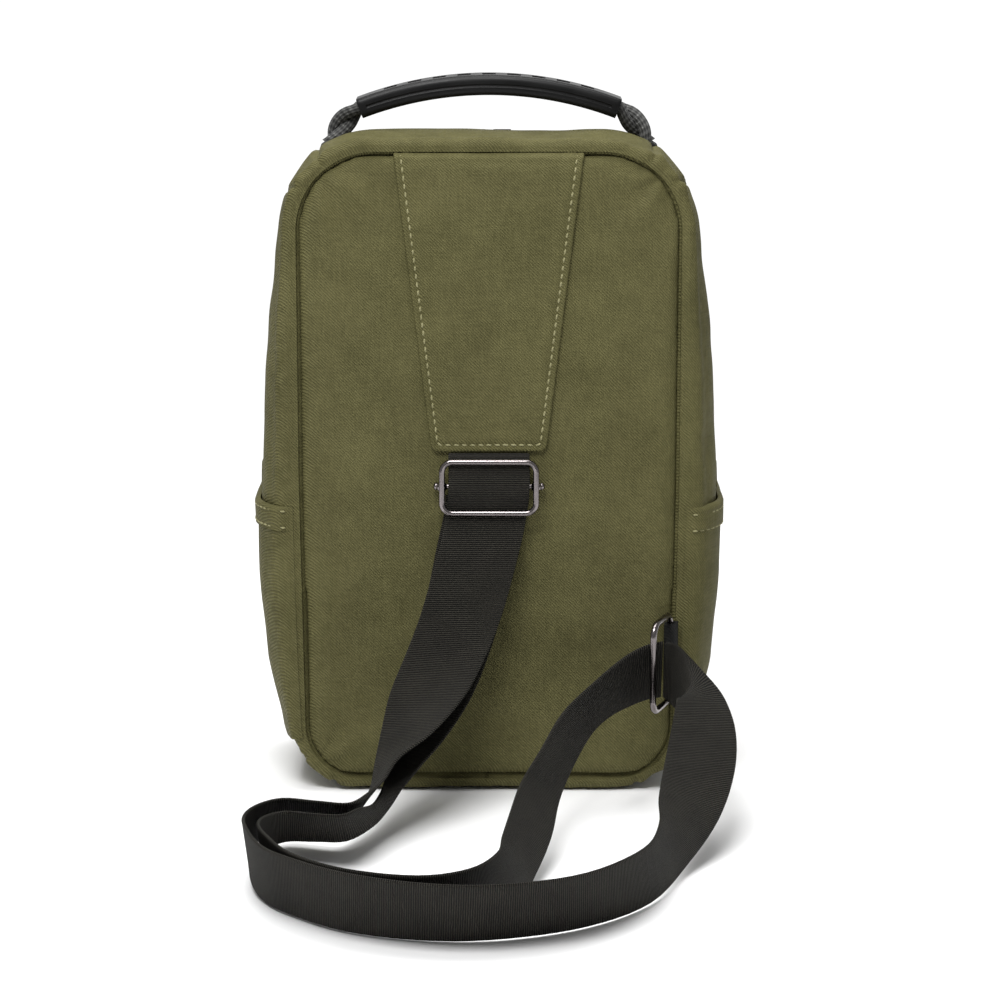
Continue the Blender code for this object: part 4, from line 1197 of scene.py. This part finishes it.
def make_grip():
    """The moulded grip: a bar with chamfers, ribs and slots, bent to its arc."""
    bpy.ops.mesh.primitive_cube_add(size=1.0)
    grip = bpy.context.object
    grip.name = "moulded_grip"
    length = 2 * GRIP_RADIUS * math.asin(GRIP_HALF / GRIP_RADIUS) - 0.0024
    grip.scale = (length, 2 * GRIP_HALF_W, 2 * GRIP_HALF_H)
    place_in_mesh(grip)
    bpy.ops.object.mode_set(mode="EDIT")
    bm = bmesh.from_edit_mesh(grip.data)
    for edge in bm.edges:
        a, b = edge.verts
        edge.select = abs(a.co.x - b.co.x) > length / 2
    bmesh.update_edit_mesh(grip.data)
    bpy.ops.mesh.bevel(offset=GRIP_CHAMFER, segments=4, profile=0.6)
    for k in range(1, GRIP_CUTS):
        bpy.ops.mesh.select_all(action="SELECT")
        bpy.ops.mesh.bisect(plane_co=(-length / 2 + length * k / GRIP_CUTS, 0, 0),
                            plane_no=(1, 0, 0))
    for y in (-0.0045, -0.0015, 0.0015, 0.0045):
        bpy.ops.mesh.select_all(action="SELECT")
        bpy.ops.mesh.bisect(plane_co=(0, y, 0), plane_no=(0, 1, 0))
    for z in (-GROOVE_HALF, GROOVE_HALF):
        bpy.ops.mesh.select_all(action="SELECT")
        bpy.ops.mesh.bisect(plane_co=(0, 0, z), plane_no=(0, 0, 1))
    bpy.ops.mesh.select_all(action="DESELECT")
    bpy.ops.mesh.select_mode(type="FACE")
    bm = bmesh.from_edit_mesh(grip.data)
    for face in bm.faces:
        middle = face.calc_center_median()
        slots = middle.x / SLOT_PITCH
        near = abs(slots - round(slots)) * SLOT_PITCH
        face.select = (face.normal.z > 0.99 and abs(middle.y) < SLOT_REACH_Y
                       and near < SLOT_HALF and abs(middle.x) < SLOTS_END)
    bmesh.update_edit_mesh(grip.data)
    bpy.ops.mesh.inset(thickness=0.00025, depth=0.0)
    bpy.ops.mesh.extrude_region_move(TRANSFORM_OT_translate={"value": (0, 0, -SLOT_DEPTH)})
    bpy.ops.mesh.select_all(action="DESELECT")
    bm = bmesh.from_edit_mesh(grip.data)
    for face in bm.faces:
        middle = face.calc_center_median()
        face.select = (abs(face.normal.y) > 0.99 and abs(middle.z) < GROOVE_HALF
                       and abs(middle.x) < GROOVE_END)
    bmesh.update_edit_mesh(grip.data)
    bpy.ops.mesh.inset(thickness=0.0002, depth=0.0)
    bpy.ops.mesh.inset(thickness=0.0002, depth=-0.0005)
    bpy.ops.object.mode_set(mode="OBJECT")
    modified(grip, "BEVEL", width=0.0002, segments=2, limit_method="ANGLE")
    arc_centre = GRIP_MID_Z - GRIP_RADIUS
    for vertex in grip.data.vertices:
        x, y, z = vertex.co
        a = x / GRIP_RADIUS
        r = GRIP_RADIUS + z
        vertex.co = (r * math.sin(a), HANDLE_Y + y, arc_centre + r * math.cos(a))
    dressed(grip, GRIP, HANDLE, ("handle_grip",), 35)


make_grip()


ANCHOR_HALF_X, ANCHOR_HALF_Y = 0.0042, 0.0070
ANCHOR_LEVELS = ((-0.0006, 1.10), (0.0006, 1.12), (0.0014, 1.06), (0.0018, 0.98))


def make_anchors():
    """Webbing sleeves that hold the ropes' feet on the gusset."""
    for side, sign in (("left", -1), ("right", 1)):
        foot, away = handle_foot(sign)
        along = Vector((-away.z, 0, away.x))
        sides = 40
        rings = []
        for height, grow in ANCHOR_LEVELS:
            ring = []
            for j in range(sides):
                a = 2 * math.pi * j / sides
                c, s = math.cos(a), math.sin(a)
                x = ANCHOR_HALF_X * grow * math.copysign(abs(c) ** 0.6, c)
                y = ANCHOR_HALF_Y * grow * math.copysign(abs(s) ** 0.6, s)
                ring.append(foot + away * height + along * x + Vector((0, y, 0)))
            rings.append(ring)
        verts = [p for ring in rings for p in ring]
        outward(new_piece(f"rope_foot_{side}", verts, tube_faces(len(ANCHOR_LEVELS), sides),
                          TAPE, BAG, (f"handle_anchor_{side}",)))


make_anchors()


# ------------------------------------------------------------------ zips
COIL_PITCH = 0.00135
MAIN_TOOTH = (0.00125, 0.00056, 0.0009)
POCKET_TOOTH = (0.0019, 0.00056, 0.0008)


def teeth(name, points, facings, pitch, size, body, node):
    """One row of nylon coil: short rounded bars side by side."""
    run = lengths(points)
    count = int((run[-1] - 0.002) / pitch)
    verts, faces = [], []
    template = bmesh.new()
    bmesh.ops.create_icosphere(template, subdivisions=1, radius=1.0)
    shape = [v.co.copy() for v in template.verts]
    shape_faces = [tuple(v.index for v in f.verts) for f in template.faces]
    template.free()
    for k in range(count):
        centre, along, up = sample(points, facings, run, 0.001 + (k + 0.5) * pitch)
        side = along.cross(up).normalized()
        base = len(verts)
        for v in shape:
            verts.append(centre + side * (v.x * size[0]) + along * (v.y * size[1])
                         + up * (v.z * size[2]))
        faces += [tuple(base + i for i in f) for f in shape_faces]
    return outward(new_piece(name, verts, faces, COIL, body, (node,), angle=80))


def main_zip():
    points = {"rear": [], "front": []}
    facings = []
    for part in UPPER:
        for i in range(30):
            p, n = outline_at(part, i / 29)
            if i == 0 and facings:
                continue
            facings.append((n[0], 0, n[1]))
            for row, y in (("rear", ZIP_MID_Y - 0.0009), ("front", ZIP_MID_Y + 0.0009)):
                points[row].append(skin(p, n, y, -(ZIP_SINK + WALL - 0.0011)))
    teeth("coil_rear", points["rear"], facings, COIL_PITCH, MAIN_TOOTH, BAG, "zip_coil_rear")
    teeth("coil_front", points["front"], facings, COIL_PITCH, MAIN_TOOTH, FLAP,
          "zip_coil_front")


main_zip()

FRONT_POCKET = (-0.068, 0.026, 0.068, 0.118)
POCKET_ZIP_Z = 0.1235


def pocket_zip():
    points = [Vector((x, 0.0469, POCKET_ZIP_Z)) for x in (-0.065, 0.0, 0.065)]
    teeth("pocket_coil", points, [(0, 1, 0)] * 3, COIL_PITCH, POCKET_TOOTH, BAG,
          "front_pocket_coil")


pocket_zip()


# ------------------------------------------------------------------ front panels
padded_panel("flap_pad", panel_outline(PAD_INSET, low=SPLIT_Z + SPLIT_GAP), 0.0438, 0.0392,
             FLAP, ("flap_panel",))
lower_pad = padded_panel("lower_pad", panel_outline(PAD_INSET, high=SPLIT_Z - SPLIT_GAP),
                         0.0438, 0.0392, BAG, ("front_panel_lower",))
front_depth = surface_of(lower_pad)


def front_pocket():
    """A flat patch pocket with a folded, stitched edge, below its own zip."""
    low_x, low_z, high_x, high_z = FRONT_POCKET
    radius = 0.012
    outer, inner = [], []
    rows, cols = 90, 110
    for i in range(rows + 1):
        z = low_z + (high_z - low_z) * i / rows
        over = max(0.0, radius - min(z - low_z, high_z - z))
        cut = radius - math.sqrt(max(0.0, radius ** 2 - over ** 2))
        row_out, row_in = [], []
        for j in range(cols + 1):
            x = (low_x + cut) + (high_x - low_x - 2 * cut) * j / cols
            edge = min(x - low_x - cut, high_x - cut - x, z - low_z, high_z - z)
            rim = rounded(edge, 0.0012)
            puff = 0.0012 * (1 - bell(edge, 0.014))
            dent = 0.0003 * bell(edge - 0.0028, 0.0006)
            soft = 0.0004 * ripple((x, 0, z), 28.0, 8.0)
            y = front_depth(x, z, 1.0)
            row_out.append(Vector((x, y + 0.0003 + (0.0016 + puff + soft) * rim - dent * rim, z)))
            row_in.append(Vector((x, y - 0.0004, z)))
        outer.append(row_out)
        inner.append(row_in)
    verts, faces = between_grids(outer, inner)
    outward(new_piece("patch_pocket", verts, faces, OLIVE, BAG,
                      ("front_pocket",), angle=60))
    loop = []
    inset = 0.0028
    r = radius - inset
    for cx, cz, start in ((high_x - radius, high_z - radius, 0), (low_x + radius,
                          high_z - radius, 90), (low_x + radius, low_z + radius, 180),
                          (high_x - radius, low_z + radius, 270)):
        loop += [(cx + r * math.cos(math.radians(start + 15 * i)),
                  cz + r * math.sin(math.radians(start + 15 * i))) for i in range(7)]
    loop.append(loop[0])
    points = [Vector((x, front_depth(x, z, 1.0) + 0.0019, z)) for x, z in loop]
    dense = []
    for a, b in zip(points, points[1:]):
        steps = max(1, int((b - a).length / 0.004))
        dense += [a.lerp(b, k / steps) for k in range(steps)]
    dense.append(points[-1])
    stitch_row("pocket_stitches", dense, [(0, 1, 0)] * len(dense), 0.0036, 0.0027, 0.00030,
               THREAD, BAG)


front_pocket()


# ------------------------------------------------------------------ CAD pieces that stay
def finish_nodes():
    """Better finishes on the CAD pieces whose shape is already right."""
    finishes = {
        "bottom_board": BOARD, "pocket_slider_body": GUNMETAL,
        "pocket_slider_puller": GUNMETAL,
        "zip_slider_left_body": GUNMETAL, "zip_slider_left_puller": GUNMETAL,
        "zip_slider_right_body": GUNMETAL, "zip_slider_right_puller": GUNMETAL,
    }
    for name, mat in finishes.items():
        node = bpy.data.objects[name]
        node.data.materials.clear()
        node.data.materials.append(mat)


finish_nodes()


def softened(name, node_name, mat, body, cell, wrinkle=0.0, subdivide=0):
    """A soft piece grown from a CAD solid: its corners are rounded off and its cloth rippled."""
    node = bpy.data.objects[node_name]
    mesh = node.data.copy()
    mesh.transform(node.matrix_world)
    piece = bpy.data.objects.new(name, mesh)
    bpy.context.scene.collection.objects.link(piece)
    if subdivide:
        modified(piece, "SUBSURF", subdivision_type="SIMPLE", levels=subdivide)
    else:
        modified(piece, "REMESH", mode="VOXEL", voxel_size=cell)
        modified(piece, "SMOOTH", factor=0.5, iterations=4)
    for vertex in piece.data.vertices:
        vertex.co += vertex.normal * (wrinkle * ripple(vertex.co, 90.0, 14.0))
    return dressed(piece, mat, body, (node_name,), 50)


softened("ring_tab_webbing", "ring_tab", TAPE, BAG, 0.0008, 0.0001)
softened("strap_end_fold", "strap_eye", TAPE, ADJUSTER, 0.0007, 0.0001)
softened("lining_cloth", "back_lining", LINING, BAG, 0.0, 0.0002, 3)
softened("slip_pocket_cloth", "inner_slip_pocket", LINING, BAG, 0.0, 0.0002, 3)
softened("tape_rear", "zip_tape_rear", TAPE, BAG, 0.0, 0.00008, 1)
softened("tape_front", "zip_tape_front", TAPE, FLAP, 0.0, 0.00008, 1)
softened("tape_pocket", "front_pocket_tape", TAPE, BAG, 0.0, 0.00008, 3)


def zip_end(side, sign):
    """A folded bit of twill that covers the end of the main zip."""
    outer, inner = [], []
    low, high, y_rear, y_front = SPLIT_Z - 0.0045, SPLIT_Z + 0.0085, -0.0095, 0.0025
    for i in range(25):
        z = low + (high - low) * i / 24
        row_out, row_in = [], []
        for j in range(25):
            y = y_rear + (y_front - y_rear) * j / 24
            edge = min(z - low, high - z, y - y_rear, y_front - y)
            rim = rounded(edge, 0.0008)
            spot, n = (sign * PANEL_HALF_W, z), (sign, 0)
            row_out.append(skin(spot, n, y, 0.0002 + 0.0008 * rim))
            row_in.append(skin(spot, n, y, -0.0003))
        outer.append(row_out)
        inner.append(row_in)
    verts, faces = between_grids(outer, inner)
    outward(new_piece(f"zip_end_{side}", verts, faces, OLIVE, BAG,
                      (f"zip_end_tab_{side}",), angle=60))


zip_end("left", -1)
zip_end("right", 1)


# ------------------------------------------------------------------ stage and light
FLOOR_RADIUS = 0.95


def make_stage():
    bpy.ops.mesh.primitive_circle_add(vertices=128, radius=FLOOR_RADIUS, fill_type="NGON")
    floor = bpy.context.object
    floor.name = "floor"
    mat, g, shader = new_material("pale_floor", (0.93, 0.93, 0.93), 0.9, specular=0.1)
    floor.data.materials.append(mat)
    world = bpy.data.worlds.new("studio")
    world.use_nodes = True
    background = world.node_tree.nodes["Background"]
    background.inputs["Color"].default_value = (1, 1, 1, 1)
    g = Graph(world.node_tree)
    parts = g.add("ShaderNodeSeparateXYZ")
    g.join(g.add("ShaderNodeTexCoord").outputs["Generated"], parts.inputs[0])
    g.join(g.ramp(parts.outputs["Y"], 0.66, 0.97, 0.34, 1.06), background.inputs["Strength"])
    bpy.context.scene.world = world
    bpy.context.scene.view_settings.view_transform = "Standard"


def add_light(name, place, target, size, power):
    data = bpy.data.lights.new(name, "AREA")
    data.shape = "RECTANGLE"
    data.size, data.size_y = size
    data.energy = power
    lamp = bpy.data.objects.new(name, data)
    lamp.location = place
    way = Vector(target) - Vector(place)
    lamp.rotation_euler = way.to_track_quat("-Z", "Y").to_euler()
    bpy.context.scene.collection.objects.link(lamp)


make_stage()
add_light("soft_key", (-0.20, -0.75, 1.15), (0, 0, 0.20), (0.6, 0.4), 13.5)
add_light("soft_top", (0.0, 0.1, 1.9), (0, 0, 0.1), (1.4, 1.2), 32.0)
